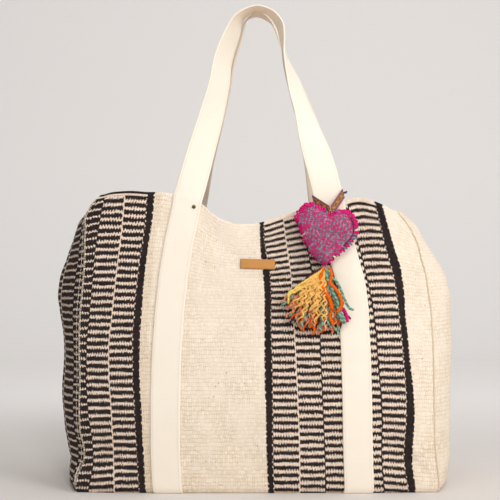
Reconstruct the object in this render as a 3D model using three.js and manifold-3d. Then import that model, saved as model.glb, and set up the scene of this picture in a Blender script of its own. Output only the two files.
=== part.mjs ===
// Carryall bag of woven cloth: it stands open on its base, with two webbing handles and a heart charm.
// Millimetres, +Z up. The origin is the middle of the base, on the floor, and the front faces -Y.
import * as THREE from "three";
import { mergeVertices } from "three/addons/utils/BufferGeometryUtils.js";
import Module from "manifold-3d";

const wasm = await Module();
wasm.setup();

// Driving sizes
const BAG = { width: 480, height: 394, depth: 190 }; // height is the cloth's, from base to rim
const CLOTH = 2.5; // wall of woven cloth
const WEBBING = 2.2; // thickness of the handles' webbing
const STRAP_WIDTH = 38;
const HANDLE_RISE = 254; // top of the handles above the rim
const HANDLES = {
  // spread widens a handle halfway up, pinch narrows it towards its top, and lean is how far it
  // stands to the right halfway up, as a share of half the bag's width
  front: { spread: 0, pinch: 0, lean: 0 },
  back: { spread: 0.135, pinch: 0.2, lean: 0.013 },
};
const BULGE_REACH = 43; // how far an end bulges past its seams where it bulges most
const FOLD_DEPTH = 4.5; // the deepest dent
const FOOT_RADIUS = 10; // rounding of the walls into the base
const BASE_THICK = 3;
const GAP = 0.3; // between pieces that touch
const SEWN_GAP = GAP + 0.1; // between the webbing and the cloth under it
const SEAM_PULL = GAP * 0.85; // how far each wall stops short of its corner seam
const HANDLE_STEP = 15; // spacing of the sections along a handle
const RIVET = { radius: 2.6, height: 1.2, fromInnerEdge: 9.3 };
const RIVETS = [
  { leg: "left", belowRim: 8 },
  { leg: "right", belowRim: 12 },
];
const LABEL = { width: 45.5, height: 13, thick: 1.6, turn: -1.8, across: 0.009, up: 0.76 };
const RIBBON = { width: 12, thick: 1, drop: 19.5, across: -1.5, aboveRim: 5, clear: 0.8 };
const HEART = { width: 79, height: 79, thick: 23, lean: 4, clear: 0.6 };
const TASSEL = { length: 82, forward: 11, headRadius: 6.5, thick: 4.8, thickEnd: 4.8 };

const halfWidth = BAG.width / 2;
const halfDepth = BAG.depth / 2;

// Levels of the walls: two in the rounding at the foot, then percent of the cloth's height.
const FOOT_LEVELS = [0, 0.4 * FOOT_RADIUS, FOOT_RADIUS];
const LEVEL_SHARES = [
  7, 12.7, 19.3, 26.4, 33.5, 40.6, 47.7, 54.3, 60.4, 66, 70.8, 75.6, 80.5, 85.3, 90.4, 95.4, 100,
];
const LEVELS = [...FOOT_LEVELS, ...LEVEL_SHARES.map((share) => (share / 100) * BAG.height)];
const GUSSET_STEPS = 8;

// A table with named columns. Each column's numbers are percent of the size given for it.
const table = (sizes, ...rows) => {
  const names = Object.keys(sizes);
  return rows.map((row) =>
    Object.fromEntries(names.map((name, i) => [name, (row[i] / 100) * sizes[name]])),
  );
};
const DEGREES = 100; // for a column that holds angles, not shares

// Where the corner seams and the middle of each sewn strap cross the front at each height.
const FRONT = table(
  { height: BAG.height, seamLeft: halfWidth, left: halfWidth, right: halfWidth, seamRight: halfWidth },
  [0, -99.2, -48.1, 56.2, 100.4],
  [6, -97.6, -48.5, 55.8, 99.6],
  [12.5, -93.9, -49, 55.4, 98.3],
  [21.3, -96.3, -49, 55, 97.5],
  [37.8, -96.3, -48.8, 54.5, 97.1],
  [54.3, -96.7, -47.5, 53.4, 96.3],
  [67.5, -95.2, -45.6, 51.8, 94.2],
  [77.4, -94.2, -43.5, 48, 90.8],
  [87.3, -94, -40.6, 43.8, 85.4],
  [94.4, -92, -38.1, 40.9, 77],
  [100, -83.8, -36.9, 39.8, 74.2],
);

// Height of the front rim across the bag: it sags between the straps and at the right corner.
const RIM = table(
  { across: halfWidth, height: BAG.height },
  [-84, 99],
  [-76.3, 100],
  [-59.6, 99.8],
  [-45, 99],
  [-30, 95.8],
  [-23.8, 92.5],
  [-12.9, 89.5],
  [-5, 89.1],
  [3.3, 89.7],
  [14.6, 91.9],
  [23.8, 93.6],
  [33.3, 94.9],
  [47.5, 96.3],
  [52.5, 97.7],
  [63, 97.1],
  [76.3, 93.5],
);

// Side view: half depth at the corner seams, and how far the middle of the front bellies past them.
const PROFILE = table(
  { height: BAG.height, seamDepth: halfDepth, belly: halfDepth },
  [0, 88.4, 6.3],
  [15.2, 90.5, 9.5],
  [38, 90.5, 10.5],
  [66, 86.3, 9.5],
  [86.3, 80, 9.5],
  [100, 73.7, 9.5],
);

// How far each end bulges past its seams.
const BULGE = table(
  { height: BAG.height, left: BULGE_REACH, right: BULGE_REACH },
  [0, 30, 37],
  [2.5, 38, 45],
  [9, 57, 66],
  [13, 74, 70],
  [22, 72, 77],
  [34.3, 81, 81],
  [47.8, 70, 84],
  [59.8, 88, 88],
  [67.8, 97, 90],
  [77.8, 77, 69],
  [83.8, 58, 48],
  [89.4, 42, 48],
  [94.2, 14, 33],
  [100, 9, 28],
);
const GUSSET_RIM = { left: 0.957 * BAG.height, right: 0.93 * BAG.height };

// The base edge is rounded: how far the walls stand in near the floor.
const FOOT = table(
  { height: FOOT_RADIUS, inset: FOOT_RADIUS },
  [0, 40],
  [40, 12],
  [100, 0],
  [200, 0],
);

// Dents and creases of the front, each a long soft hollow.
const FOLDS = table(
  {
    across: halfWidth,
    height: BAG.height,
    turn: DEGREES,
    length: halfWidth,
    width: BAG.height,
    depth: FOLD_DEPTH,
  },
  [12.5, 71.3, 0, 14, 1.8, 71], // crease below the label
  [-85.4, 11.2, 38, 11, 2.3, 100], // kink at the lower left corner
  [81.7, 11.7, -35, 11, 2.5, 100], // kink at the lower right corner
  [59.2, 80.7, 100, 26, 3, 89], // hollow beside the right strap
  [-20, 83.8, -50, 17, 3.6, 56], // pull from the left strap into the sag
  [83.3, 76.1, 78, 21, 3.6, 56], // slump of the right corner
  [-66.7, 89.3, 8, 17, 3, 44], // soft hollow below the left rim
);

// Centre line of a handle, from the left leg over the top and down the right leg.
// out runs from 0 at the top to 100 where the legs leave the rim. turn is how far the webbing has
// turned from facing forwards: it makes a half turn on its way.
const HANDLE = table(
  { across: halfWidth, rise: 1, out: 1, turn: DEGREES },
  [-34.4, 6.4, 90, 15],
  [-30.8, 19.5, 76, 23],
  [-24, 43.3, 51, 38],
  [-20.4, 58, 37.5, 48],
  [-18.2, 71.8, 22, 54],
  [-12.9, 86.5, 7, 60],
  [-8.5, 95.2, 1.2, 75],
  [0, 100, 0, 90],
  [8.8, 97, 1, 97],
  [13.8, 90.5, 3.7, 101],
  [15.3, 83.3, 7, 97],
  [16.5, 76.6, 12, 88],
  [20, 64.6, 27.4, 67],
  [23.3, 53, 39, 55],
  [27.1, 41.7, 52.7, 47],
  [30.8, 29, 68, 26],
  [33.8, 19.5, 78, 8],
  [36.9, 8.8, 90, 2],
);

// Outline of the heart round its middle.
const HEART_OUTLINE = table(
  { across: HEART.width, up: HEART.height },
  [-49.1, 27.8],
  [-43.7, 10.1],
  [-35.4, -11.4],
  [-24.1, -34.2],
  [-3.3, -49.4],
  [17.7, -34.2],
  [35.4, -18.4],
  [47.5, -2.5],
  [49.7, 11.4],
  [44.3, 28.5],
  [32.9, 36.1],
  [18.7, 37.7],
  [9, 30.8],
  [-7.3, 40.5],
  [-18.7, 47.3],
  [-29.7, 48.9],
  [-39.9, 42.5],
);
// The tip is the outline's lowest place, and the notch is the dip between its lobes.
const heartTip = HEART_OUTLINE.reduce((low, row) => (row.up < low.up ? row : low));
const heartNotch = HEART_OUTLINE.find(({ up }, i) => {
  const before = HEART_OUTLINE.at(i - 1);
  const after = HEART_OUTLINE[(i + 1) % HEART_OUTLINE.length];
  return up > 0 && up < before.up && up < after.up;
});
const HEART_RINGS = [1, 0.93, 0.8, 0.6, 0.34];

// Locks of the tassel: lean from straight down, length, and how far forward the end comes.
const LOCKS = table(
  { lean: DEGREES, length: TASSEL.length, forward: TASSEL.forward },
  [-57, 74, 18],
  [-50, 86, 45],
  [-41, 96, 18],
  [-30, 98, 45],
  [-18, 99, 18],
  [-9, 100, 55],
  [0, 100, 18],
  [8, 99, 55],
  [16, 95, 18],
  [24, 88, 45],
  [34, 77, 27],
  [-42, 71, 91],
  [-24, 83, 91],
  [-5, 88, 100],
  [13, 83, 91],
  [27, 67, 82],
);
const LOCK_SIDES = 5;
const LOCK_STEPS = 6;

const COLOURS = {
  cloth: 0xece2ce,
  webbing: 0xfcf6ea,
  leather: 0xdea861,
  brass: 0x6d5a3c,
  ribbon: 0x73283c,
  heart: 0xc81e78,
  yarn: 0xf5b95f,
};

const material = (color, roughness = 0.9, metalness = 0) =>
  new THREE.MeshStandardMaterial({ color, roughness, metalness });
const cloth = material(COLOURS.cloth);
const webbing = material(COLOURS.webbing, 0.8);
const leather = material(COLOURS.leather, 0.55);
const brass = material(COLOURS.brass, 0.4, 0.9);

const vector = (x, y, z) => new THREE.Vector3(x, y, z);
const radians = THREE.MathUtils.degToRad;
const clamp = THREE.MathUtils.clamp;
const lerp = THREE.MathUtils.lerp;

// Smooth reading of one column of a table at a value of another.
function read(rows, name, at, by = "height") {
  const last = rows.length - 1;
  const value = clamp(at, rows[0][by], rows[last][by]);
  let i = 0;
  while (i < last - 1 && value > rows[i + 1][by]) i += 1;
  const step = rows[i + 1][by] - rows[i][by];
  const slope = (j) => {
    const before = rows[Math.max(j - 1, 0)];
    const after = rows[Math.min(j + 1, last)];
    return (after[name] - before[name]) / (after[by] - before[by]);
  };
  const t = (value - rows[i][by]) / step;
  const start = rows[i][name] + t * (slope(i) * step);
  const end = rows[i + 1][name] - (1 - t) * (slope(i + 1) * step);
  const ease = t * t * (3 - 2 * t);
  return lerp(start, end, ease);
}

// Cloth is gathered near the rim where the rim sags.
const SAG_START = 0.58;
const sagShare = (level) =>
  Math.pow(clamp((level / BAG.height - SAG_START) / (1 - SAG_START), 0, 1), 1.2);
const sagged = (level, rim) => level - (BAG.height - rim) * sagShare(level);
const foot = (height) => read(FOOT, "inset", height);

function foldDepth(x, z) {
  let sum = 0;
  for (const fold of FOLDS) {
    const angle = radians(fold.turn);
    const along = (x - fold.across) * Math.cos(angle) + (z - fold.height) * Math.sin(angle);
    const off = (z - fold.height) * Math.cos(angle) - (x - fold.across) * Math.sin(angle);
    sum += fold.depth * Math.exp(-((along / fold.length) ** 2) - (off / fold.width) ** 2);
  }
  return sum;
}

// The walls stand in a little all round near the floor.
function stand(point) {
  const inset = foot(point.z);
  point.x *= 1 - inset / halfWidth;
  point.y *= 1 - inset / halfDepth;
  return point;
}

// Lines up the front: the corner seams and the edges of the sewn straps.
const LINES = {
  seamLeft: { column: "seamLeft", beside: 0 },
  leftOuter: { column: "left", beside: -STRAP_WIDTH / 2 },
  leftInner: { column: "left", beside: STRAP_WIDTH / 2 },
  rightInner: { column: "right", beside: -STRAP_WIDTH / 2 },
  rightOuter: { column: "right", beside: STRAP_WIDTH / 2 },
  seamRight: { column: "seamRight", beside: 0 },
};
const lineAcross = (name, z) => read(FRONT, LINES[name].column, z) + LINES[name].beside;

// Columns of the front, each between two of these lines.
const SPANS = [
  { from: "seamLeft", to: "leftOuter", steps: 5 },
  { from: "leftOuter", to: "leftInner", steps: 2 },
  { from: "leftInner", to: "rightInner", steps: 9 },
  { from: "rightInner", to: "rightOuter", steps: 2 },
  { from: "rightOuter", to: "seamRight", steps: 5 },
];
const COLUMNS = SPANS.flatMap(({ from, to, steps }) =>
  Array.from({ length: steps }, (_, i) => ({ from, to, share: i / steps })),
);
COLUMNS.push({ from: "rightOuter", to: "seamRight", share: 1 });
const firstColumn = (name) => COLUMNS.findIndex((column) => column.from === name);
const LEFT_LEG = firstColumn("leftOuter");
const RIGHT_LEG = firstColumn("rightInner");
const LEG_STEPS = SPANS[1].steps;

const frontAcross = ({ from, to, share }, z) => lerp(lineAcross(from, z), lineAcross(to, z), share);

// Rim height of a column: its place across the bag and its height depend on each other.
function columnRim(column) {
  let rim = BAG.height;
  for (let i = 0; i < 4; i += 1) rim = read(RIM, "height", frontAcross(column, rim), "across");
  return rim;
}

function frontPoint(column, level) {
  const z = sagged(level, columnRim(column));
  const x = frontAcross(column, z);
  const left = read(FRONT, "seamLeft", z);
  const share = (x - left) / (read(FRONT, "seamRight", z) - left);
  const crown = 1 - Math.abs(2 * share - 1) ** 4;
  const depth = read(PROFILE, "seamDepth", z) + read(PROFILE, "belly", z) * crown;
  return stand(vector(x, foldDepth(x, z) - depth, z));
}

// Point of a gusset: share runs from -1 at the front seam to 1 at the back seam.
function gussetPoint(side, share, level) {
  const seam = side === "left" ? COLUMNS[0] : COLUMNS.at(-1);
  const rim = lerp(GUSSET_RIM[side], columnRim(seam), share ** 2);
  const z = sagged(level, rim);
  const bulge = read(BULGE, side, z) * (1 - Math.abs(share) ** 2.2);
  const x = frontAcross(seam, z) + (side === "left" ? -bulge : bulge);
  return stand(vector(x, share * read(PROFILE, "seamDepth", z), z));
}

// Rings of points round the whole bag, one for each level, from the front left seam.
const gussetShares = Array.from({ length: GUSSET_STEPS - 1 }, (_, i) =>
  -Math.cos((Math.PI * (i + 1)) / GUSSET_STEPS),
);
const mirrored = (point) => vector(point.x, -point.y, point.z);
const outerRings = LEVELS.map((level) => {
  const front = COLUMNS.map((column) => frontPoint(column, level));
  const right = gussetShares.map((share) => gussetPoint("right", share, level));
  const left = gussetShares.map((share) => gussetPoint("left", -share, level));
  return [...front, ...right, ...front.map(mirrored).reverse(), ...left];
});
const AROUND = outerRings[0].length;
const FRONT_LAST = COLUMNS.length - 1;
const BACK_FIRST = FRONT_LAST + GUSSET_STEPS;
const BACK_LAST = BACK_FIRST + FRONT_LAST;

const onRing = (ring, k) => ring[(k + AROUND) % AROUND];

// Outward direction of the wall, longer at a corner so that the wall keeps its thickness there.
function outward(level, k) {
  const ring = outerRings[level];
  const above = outerRings[Math.min(level + 1, LEVELS.length - 1)];
  const below = outerRings[Math.max(level - 1, 0)];
  const up = onRing(above, k).clone().sub(onRing(below, k));
  const here = onRing(ring, k);
  const facing = [
    here.clone().sub(onRing(ring, k - 1)),
    onRing(ring, k + 1).clone().sub(here),
  ].map((across) => across.cross(up).normalize());
  const middle = facing[0].clone().add(facing[1]).normalize();
  if (level === 0) middle.setZ(0).normalize();
  return middle.divideScalar(Math.max(middle.dot(facing[0]), 0.5));
}
const outwards = outerRings.map((ring, level) => ring.map((_, k) => outward(level, k)));
const offset = (level, k, distance) =>
  onRing(outerRings[level], k).clone().addScaledVector(onRing(outwards[level], k), distance);

// A closed body from two layers of points, each a list of rows.
function sheet(outer, inner) {
  const places = [];
  const quad = (a, b, c, d) => {
    for (const p of [a, b, c, a, c, d]) places.push(p.x, p.y, p.z);
  };
  const rows = outer.length - 1;
  const columns = outer[0].length - 1;
  for (let i = 0; i < rows; i += 1) {
    for (let j = 0; j < columns; j += 1) {
      quad(outer[i][j], outer[i][j + 1], outer[i + 1][j + 1], outer[i + 1][j]);
      quad(inner[i][j], inner[i + 1][j], inner[i + 1][j + 1], inner[i][j + 1]);
    }
    quad(outer[i][0], outer[i + 1][0], inner[i + 1][0], inner[i][0]);
    quad(outer[i][columns], inner[i][columns], inner[i + 1][columns], outer[i + 1][columns]);
  }
  for (let j = 0; j < columns; j += 1) {
    quad(outer[0][j], inner[0][j], inner[0][j + 1], outer[0][j + 1]);
    quad(outer[rows][j], outer[rows][j + 1], inner[rows][j + 1], inner[rows][j]);
  }
  return geometryOf(places);
}

function geometryOf(places) {
  const geometry = new THREE.BufferGeometry();
  geometry.setAttribute("position", new THREE.Float32BufferAttribute(places, 3));
  const joined = mergeVertices(geometry, 1e-4);
  joined.computeVertexNormals();
  return joined;
}

// The same shape at the back of the bag.
function atBack(geometry) {
  const copy = geometry.clone().scale(1, -1, 1);
  const index = copy.getIndex();
  for (let i = 0; i < index.count; i += 3) {
    const second = index.getX(i + 1);
    index.setX(i + 1, index.getX(i + 2));
    index.setX(i + 2, second);
  }
  copy.computeVertexNormals();
  return copy;
}

const bag = new THREE.Group();
function add(name, geometry, look) {
  const mesh = new THREE.Mesh(geometry, look);
  mesh.name = name;
  bag.add(mesh);
  return mesh;
}

// A wall of the bag: the columns from first to last, a little short of its corner seams.
function wall(first, last) {
  const layer = (distance) =>
    LEVELS.map((_, level) => {
      const row = [];
      for (let k = first; k <= last; k += 1) row.push(offset(level, k, distance));
      const pull = (end, next) =>
        end.addScaledVector(next.clone().sub(end).normalize(), SEAM_PULL);
      pull(row[0], row[1]);
      pull(row.at(-1), row.at(-2));
      return row;
    });
  return sheet(layer(0), layer(-CLOTH));
}

// The base plate lies inside the walls, on the floor.
function base() {
  const outline = outerRings[0].map((_, k) => {
    const point = offset(0, k, -CLOTH - GAP);
    return new THREE.Vector2(point.x, point.y);
  });
  return new THREE.ExtrudeGeometry(new THREE.Shape(outline), {
    depth: BASE_THICK,
    bevelEnabled: false,
    steps: 1,
  });
}

// One row of a sewn leg at a level: the face against the cloth and the face away from it.
function sewnRow(level, leg) {
  const row = { near: [], far: [] };
  for (let k = leg; k <= leg + LEG_STEPS; k += 1) {
    row.near.push(offset(level, k, SEWN_GAP));
    row.far.push(offset(level, k, SEWN_GAP + WEBBING));
  }
  return row;
}

const average = (points) =>
  points.reduce((sum, point) => sum.add(point), vector(0, 0, 0)).divideScalar(points.length);

// Middle of the webbing where a leg leaves the rim.
function legTop(leg) {
  const row = sewnRow(LEVELS.length - 1, leg);
  return average([...row.near, ...row.far]);
}

const ARCH_DEPTH = -(STRAP_WIDTH / 2 + 0.8);
const LEG_DEPTH = legTop(LEFT_LEG).y;
const handleTurns = [0, ...HANDLE.map((row) => row.turn), 0];

function handleCurve({ spread, pinch, lean }) {
  const points = HANDLE.map(({ across, rise, out }) => {
    const halfway = 4 * rise * (1 - rise);
    const wider = 1 + spread * halfway - pinch * rise ** 2;
    const aside = lean * halfWidth * halfway;
    const depth = lerp(ARCH_DEPTH, LEG_DEPTH, out);
    return vector(across * wider + aside, depth, BAG.height + rise * HANDLE_RISE);
  });
  const all = [legTop(LEFT_LEG), ...points, legTop(RIGHT_LEG)];
  return new THREE.CatmullRomCurve3(all, false, "centripetal");
}

// Place on a handle: middle, direction along it, direction to its first edge, and its face.
function handleFrame(curve, t) {
  const at = t * (curve.points.length - 1);
  const i = Math.min(Math.floor(at), curve.points.length - 2);
  const turn = radians(lerp(handleTurns[i], handleTurns[i + 1], at - i));
  const along = curve.getTangent(t);
  const edge = vector(-Math.cos(turn), -Math.sin(turn), 0);
  edge.addScaledVector(along, -edge.dot(along)).normalize();
  const face = along.clone().cross(edge);
  return { middle: curve.getPoint(t), along, edge, face };
}

function freeRow(curve, t) {
  const { middle, edge, face } = handleFrame(curve, t);
  const row = { near: [], far: [] };
  for (let j = 0; j <= LEG_STEPS; j += 1) {
    const across = STRAP_WIDTH * (0.5 - j / LEG_STEPS);
    const point = middle.clone().addScaledVector(edge, across);
    row.far.push(point.clone().addScaledVector(face, WEBBING / 2));
    row.near.push(point.clone().addScaledVector(face, -WEBBING / 2));
  }
  return row;
}

// One band of webbing: sewn up the left leg, free over the top and sewn down the right leg.
function strap(curve) {
  const up = LEVELS.map((_, level) => sewnRow(level, LEFT_LEG));
  const down = LEVELS.map((_, level) => sewnRow(level, RIGHT_LEG)).reverse();
  const turned = down.map(({ near, far }) => ({ near: far, far: near }));
  const count = Math.round(curve.getLength() / HANDLE_STEP);
  const free = [];
  for (let i = 1; i < count; i += 1) free.push(freeRow(curve, i / count));
  const rows = [...up, ...free, ...turned];
  return sheet(
    rows.map((row) => row.far),
    rows.map((row) => row.near),
  );
}

// Depth of a face at a place across and up the front, or null beside it. The face is a list of
// rows of points, from left to right and upwards.
function depthOn(face, x, z) {
  for (let i = 0; i < face.length - 1; i += 1) {
    for (let k = 0; k < face[i].length - 1; k += 1) {
      const corners = [face[i][k], face[i][k + 1], face[i + 1][k + 1], face[i + 1][k]];
      for (const [a, b, c] of [corners.slice(0, 3), [corners[0], corners[2], corners[3]]]) {
        const depth = depthIn(a, b, c, x, z);
        if (depth !== null) return depth;
      }
    }
  }
  return null;
}

function depthIn(a, b, c, x, z) {
  const area = (b.x - a.x) * (c.z - a.z) - (c.x - a.x) * (b.z - a.z);
  const v = ((x - a.x) * (c.z - a.z) - (c.x - a.x) * (z - a.z)) / area;
  const w = ((b.x - a.x) * (z - a.z) - (x - a.x) * (b.z - a.z)) / area;
  if (v < 0 || w < 0 || v + w > 1) return null;
  return a.y + v * (b.y - a.y) + w * (c.y - a.y);
}

const clothFace = outerRings.map((ring) => ring.slice(0, FRONT_LAST + 1));
const legFaces = [LEFT_LEG, RIGHT_LEG].map((leg) => LEVELS.map((_, level) => sewnRow(level, leg).far));
const bagFront = (x, z) =>
  depthOn(legFaces[0], x, z) ?? depthOn(legFaces[1], x, z) ?? depthOn(clothFace, x, z);

// Rivets, each a low dome on a leg near its inner edge.
function rivet() {
  const steps = 4;
  const rim = 0.35 * RIVET.height;
  const profile = [new THREE.Vector2(0, 0), new THREE.Vector2(RIVET.radius, 0)];
  for (let i = 1; i <= steps; i += 1) {
    const angle = (Math.PI / 2) * (i / steps);
    const radius = i === steps ? 0 : RIVET.radius * Math.cos(angle);
    profile.push(new THREE.Vector2(radius, rim + (RIVET.height - rim) * Math.sin(angle)));
  }
  return closedLathe(profile, 12);
}

function closedLathe(profile, sides) {
  const lathe = new THREE.LatheGeometry(profile, sides);
  lathe.deleteAttribute("normal");
  lathe.deleteAttribute("uv");
  return mergeVertices(lathe, 1e-4);
}

// A rivet square to the webbing under it.
function rivetOnFront({ leg, belowRim }) {
  const inner = leg === "left" ? "leftInner" : "rightInner";
  const inwards = leg === "left" ? -1 : 1;
  let across = 0;
  let up = BAG.height;
  for (let i = 0; i < 4; i += 1) {
    across = lineAcross(inner, up) + inwards * RIVET.fromInnerEdge;
    up = read(RIM, "height", across, "across") - belowRim;
  }
  const reach = RIVET.radius;
  const slopeX = (bagFront(across + reach, up) - bagFront(across - reach, up)) / (2 * reach);
  const slopeZ = (bagFront(across, up + reach) - bagFront(across, up - reach)) / (2 * reach);
  const facing = vector(slopeX, -1, slopeZ).normalize();
  const place = vector(across, bagFront(across, up), up).addScaledVector(facing, GAP + 0.1);
  const turn = new THREE.Quaternion().setFromUnitVectors(vector(0, 1, 0), facing);
  return rivet().applyQuaternion(turn).translate(place.x, place.y, place.z);
}

// Leather label: a thin patch that follows the cloth.
function label() {
  const columns = 6;
  const rows = 2;
  const turn = radians(LABEL.turn);
  const layer = (lift) =>
    Array.from({ length: rows + 1 }, (_, i) =>
      Array.from({ length: columns + 1 }, (__, j) => {
        const u = LABEL.width * (j / columns - 0.5);
        const v = LABEL.height * (i / rows - 0.5);
        const x = LABEL.across * halfWidth + u * Math.cos(turn) - v * Math.sin(turn);
        const z = LABEL.up * BAG.height + u * Math.sin(turn) + v * Math.cos(turn);
        return vector(x, depthOn(clothFace, x, z) - lift, z);
      }),
    );
  return sheet(layer(SEWN_GAP + LABEL.thick), layer(SEWN_GAP));
}

const heartPoint = ({ across, up }) => vector(across, 0, up);

// Padded heart: rings of the outline, smaller and prouder towards the middle.
function heart() {
  const curve = new THREE.CatmullRomCurve3(HEART_OUTLINE.map(heartPoint), true, "centripetal");
  const count = 2 * HEART_OUTLINE.length;
  const outline = curve.getPoints(count).slice(0, count);
  const half = HEART.thick / 2;
  const ring = (share, side) =>
    outline.map((p) =>
      vector(p.x * share, side * half * (1 - share ** 2.4) ** 0.62, p.z * share),
    );
  const places = [];
  const triangle = (...corners) => {
    for (const p of corners) places.push(p.x, p.y, p.z);
  };
  for (const side of [-1, 1]) {
    const rings = HEART_RINGS.map((share) => ring(share, side));
    const middle = vector(0, side * half, 0);
    for (let i = 0; i < count; i += 1) {
      const next = (i + 1) % count;
      const order = side < 0 ? [i, next] : [next, i];
      for (let r = 0; r < rings.length - 1; r += 1) {
        const outer = order.map((k) => rings[r][k]);
        const inner = order.map((k) => rings[r + 1][k]);
        triangle(outer[0], outer[1], inner[1]);
        triangle(outer[0], inner[1], inner[0]);
      }
      const last = order.map((k) => rings.at(-1)[k]);
      triangle(last[0], last[1], middle);
    }
  }
  return geometryOf(places);
}

// Moves a mesh along Y until its back just clears the front of the bag.
function restOnFront(mesh, clear) {
  mesh.updateMatrixWorld(true);
  const places = mesh.geometry.getAttribute("position");
  let shift = Infinity;
  for (let i = 0; i < places.count; i += 1) {
    const point = new THREE.Vector3().fromBufferAttribute(places, i).applyMatrix4(mesh.matrixWorld);
    const front = bagFront(point.x, point.z);
    if (front !== null) shift = Math.min(shift, front - clear - point.y);
  }
  mesh.position.y += shift;
  mesh.updateMatrixWorld(true);
}

// Solids for manifold-3d, and back.
function solidOf(geometry) {
  const bare = geometry.clone();
  for (const name of Object.keys(bare.attributes)) {
    if (name !== "position") bare.deleteAttribute(name);
  }
  const joined = mergeVertices(bare, 1e-4);
  const mesh = new wasm.Mesh({
    numProp: 3,
    vertProperties: new Float32Array(joined.getAttribute("position").array),
    triVerts: new Uint32Array(joined.getIndex().array),
  });
  return new wasm.Manifold(mesh);
}

function geometryFrom(solid) {
  const mesh = solid.getMesh();
  const geometry = new THREE.BufferGeometry();
  geometry.setAttribute("position", new THREE.BufferAttribute(mesh.vertProperties, 3));
  geometry.setIndex(new THREE.BufferAttribute(mesh.triVerts, 1));
  geometry.computeVertexNormals();
  return geometry;
}

const joinAll = (solids) => solids.reduce((sum, solid) => sum.add(solid));

// Slab between two outlines of the same corners, given from left to right and upwards.
const slab = (front, back) => solidOf(sheet(front, back));

// Frame of the right leg just above the rim: across to the right, up along the strap, depth back.
function ribbonFrame(curve) {
  const height = legTop(RIGHT_LEG).z + RIBBON.aboveRim + RIBBON.width / 2;
  let t = 1;
  while (handleFrame(curve, t).middle.z < height) t -= 0.0005;
  const { middle, edge, along, face } = handleFrame(curve, t);
  return (across, above, depth) =>
    middle
      .clone()
      .addScaledVector(edge, -across)
      .addScaledVector(along, -above)
      .addScaledVector(face, depth);
}
const frontCurve = handleCurve(HANDLES.front);
const onLeg = ribbonFrame(frontCurve);

// Ribbon: behind the strap just above the rim, round both edges, and down to the heart's notch.
function ribbon(notch) {
  const edge = STRAP_WIDTH / 2 + RIBBON.clear;
  const outer = edge + RIBBON.thick;
  const back = WEBBING / 2 + RIBBON.clear;
  const front = -back - RIBBON.thick;
  const half = RIBBON.width / 2;
  const block = (lowX, highX, lowY, highY) => {
    const layer = (depth) => [-half, half].map((up) => [onLeg(lowX, up, depth), onLeg(highX, up, depth)]);
    return slab(layer(lowY), layer(highY));
  };
  const pieces = [
    block(-outer, outer, back, back + RIBBON.thick),
    block(-outer, -edge, front, back + RIBBON.thick),
    block(edge, outer, front, back + RIBBON.thick),
  ];
  const upwards = onLeg(0, 1, 0).sub(onLeg(0, 0, 0));
  const backwards = onLeg(0, 0, 1).sub(onLeg(0, 0, 0));
  const foot = notch.clone().addScaledVector(upwards, half + RIBBON.clear);
  for (const side of [-1, 1]) {
    const rows = [-half, half].map((up) => {
      const low = foot.clone().addScaledVector(upwards, up);
      low.x += side * RIBBON.thick;
      const ends = [onLeg(side * outer, up, front), low];
      return side < 0 ? ends : ends.reverse();
    });
    const lift = side < 0 ? 0 : -RIBBON.thick / 2;
    const layer = (depth) =>
      rows.map((row) => row.map((point) => point.clone().addScaledVector(backwards, depth)));
    pieces.push(slab(layer(lift), layer(lift + RIBBON.thick)));
  }
  return geometryFrom(joinAll(pieces));
}

// Tassel: locks that leave the head, spread and droop.
function lock({ lean, length, forward }, tip) {
  const angle = radians(lean);
  const end = vector(length * Math.sin(angle), -forward, -length * Math.cos(angle));
  const knee = vector(end.x * 0.62, -forward * 1.2, end.z * 0.28 - 6);
  const curve = new THREE.QuadraticBezierCurve3(tip, tip.clone().add(knee), tip.clone().add(end));
  const rings = [];
  for (let i = 0; i <= LOCK_STEPS; i += 1) {
    const t = i / LOCK_STEPS;
    const radius = lerp(TASSEL.thick, TASSEL.thickEnd, t * t);
    const along = curve.getTangent(t);
    const side = along.clone().cross(vector(0, 1, 0)).normalize();
    const front = side.clone().cross(along);
    rings.push(
      Array.from({ length: LOCK_SIDES }, (_, k) => {
        const turn = (2 * Math.PI * k) / LOCK_SIDES;
        return curve
          .getPoint(t)
          .addScaledVector(side, radius * Math.cos(turn))
          .addScaledVector(front, radius * Math.sin(turn));
      }),
    );
  }
  return solidOf(tubeOf(rings));
}

function tubeOf(rings) {
  const places = [];
  const triangle = (...corners) => {
    for (const p of corners) places.push(p.x, p.y, p.z);
  };
  const count = rings[0].length;
  for (let i = 0; i < rings.length - 1; i += 1) {
    for (let k = 0; k < count; k += 1) {
      const next = (k + 1) % count;
      triangle(rings[i][k], rings[i + 1][k], rings[i + 1][next]);
      triangle(rings[i][k], rings[i + 1][next], rings[i][next]);
    }
  }
  for (let k = 1; k < count - 1; k += 1) {
    triangle(rings[0][0], rings[0][k], rings[0][k + 1]);
    triangle(rings.at(-1)[0], rings.at(-1)[k + 1], rings.at(-1)[k]);
  }
  return geometryOf(places);
}

const HEAD_HEIGHT = 1.1 * TASSEL.headRadius;

function tassel() {
  const head = new THREE.SphereGeometry(TASSEL.headRadius, 10, 7);
  head.rotateX(Math.PI / 2).scale(1, 0.85, HEAD_HEIGHT / TASSEL.headRadius);
  const solids = LOCKS.map((row) => lock(row, vector(0, 0, -2)));
  return geometryFrom(joinAll([solidOf(head), ...solids]));
}

add("front_panel", wall(0, FRONT_LAST), cloth);
add("right_gusset", wall(FRONT_LAST, BACK_FIRST), cloth);
add("back_panel", wall(BACK_FIRST, BACK_LAST), cloth);
add("left_gusset", wall(BACK_LAST, AROUND), cloth);
add("base_panel", base(), cloth);

add("front_strap", strap(frontCurve), webbing);
add("back_strap", atBack(strap(handleCurve(HANDLES.back))), webbing);

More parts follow.
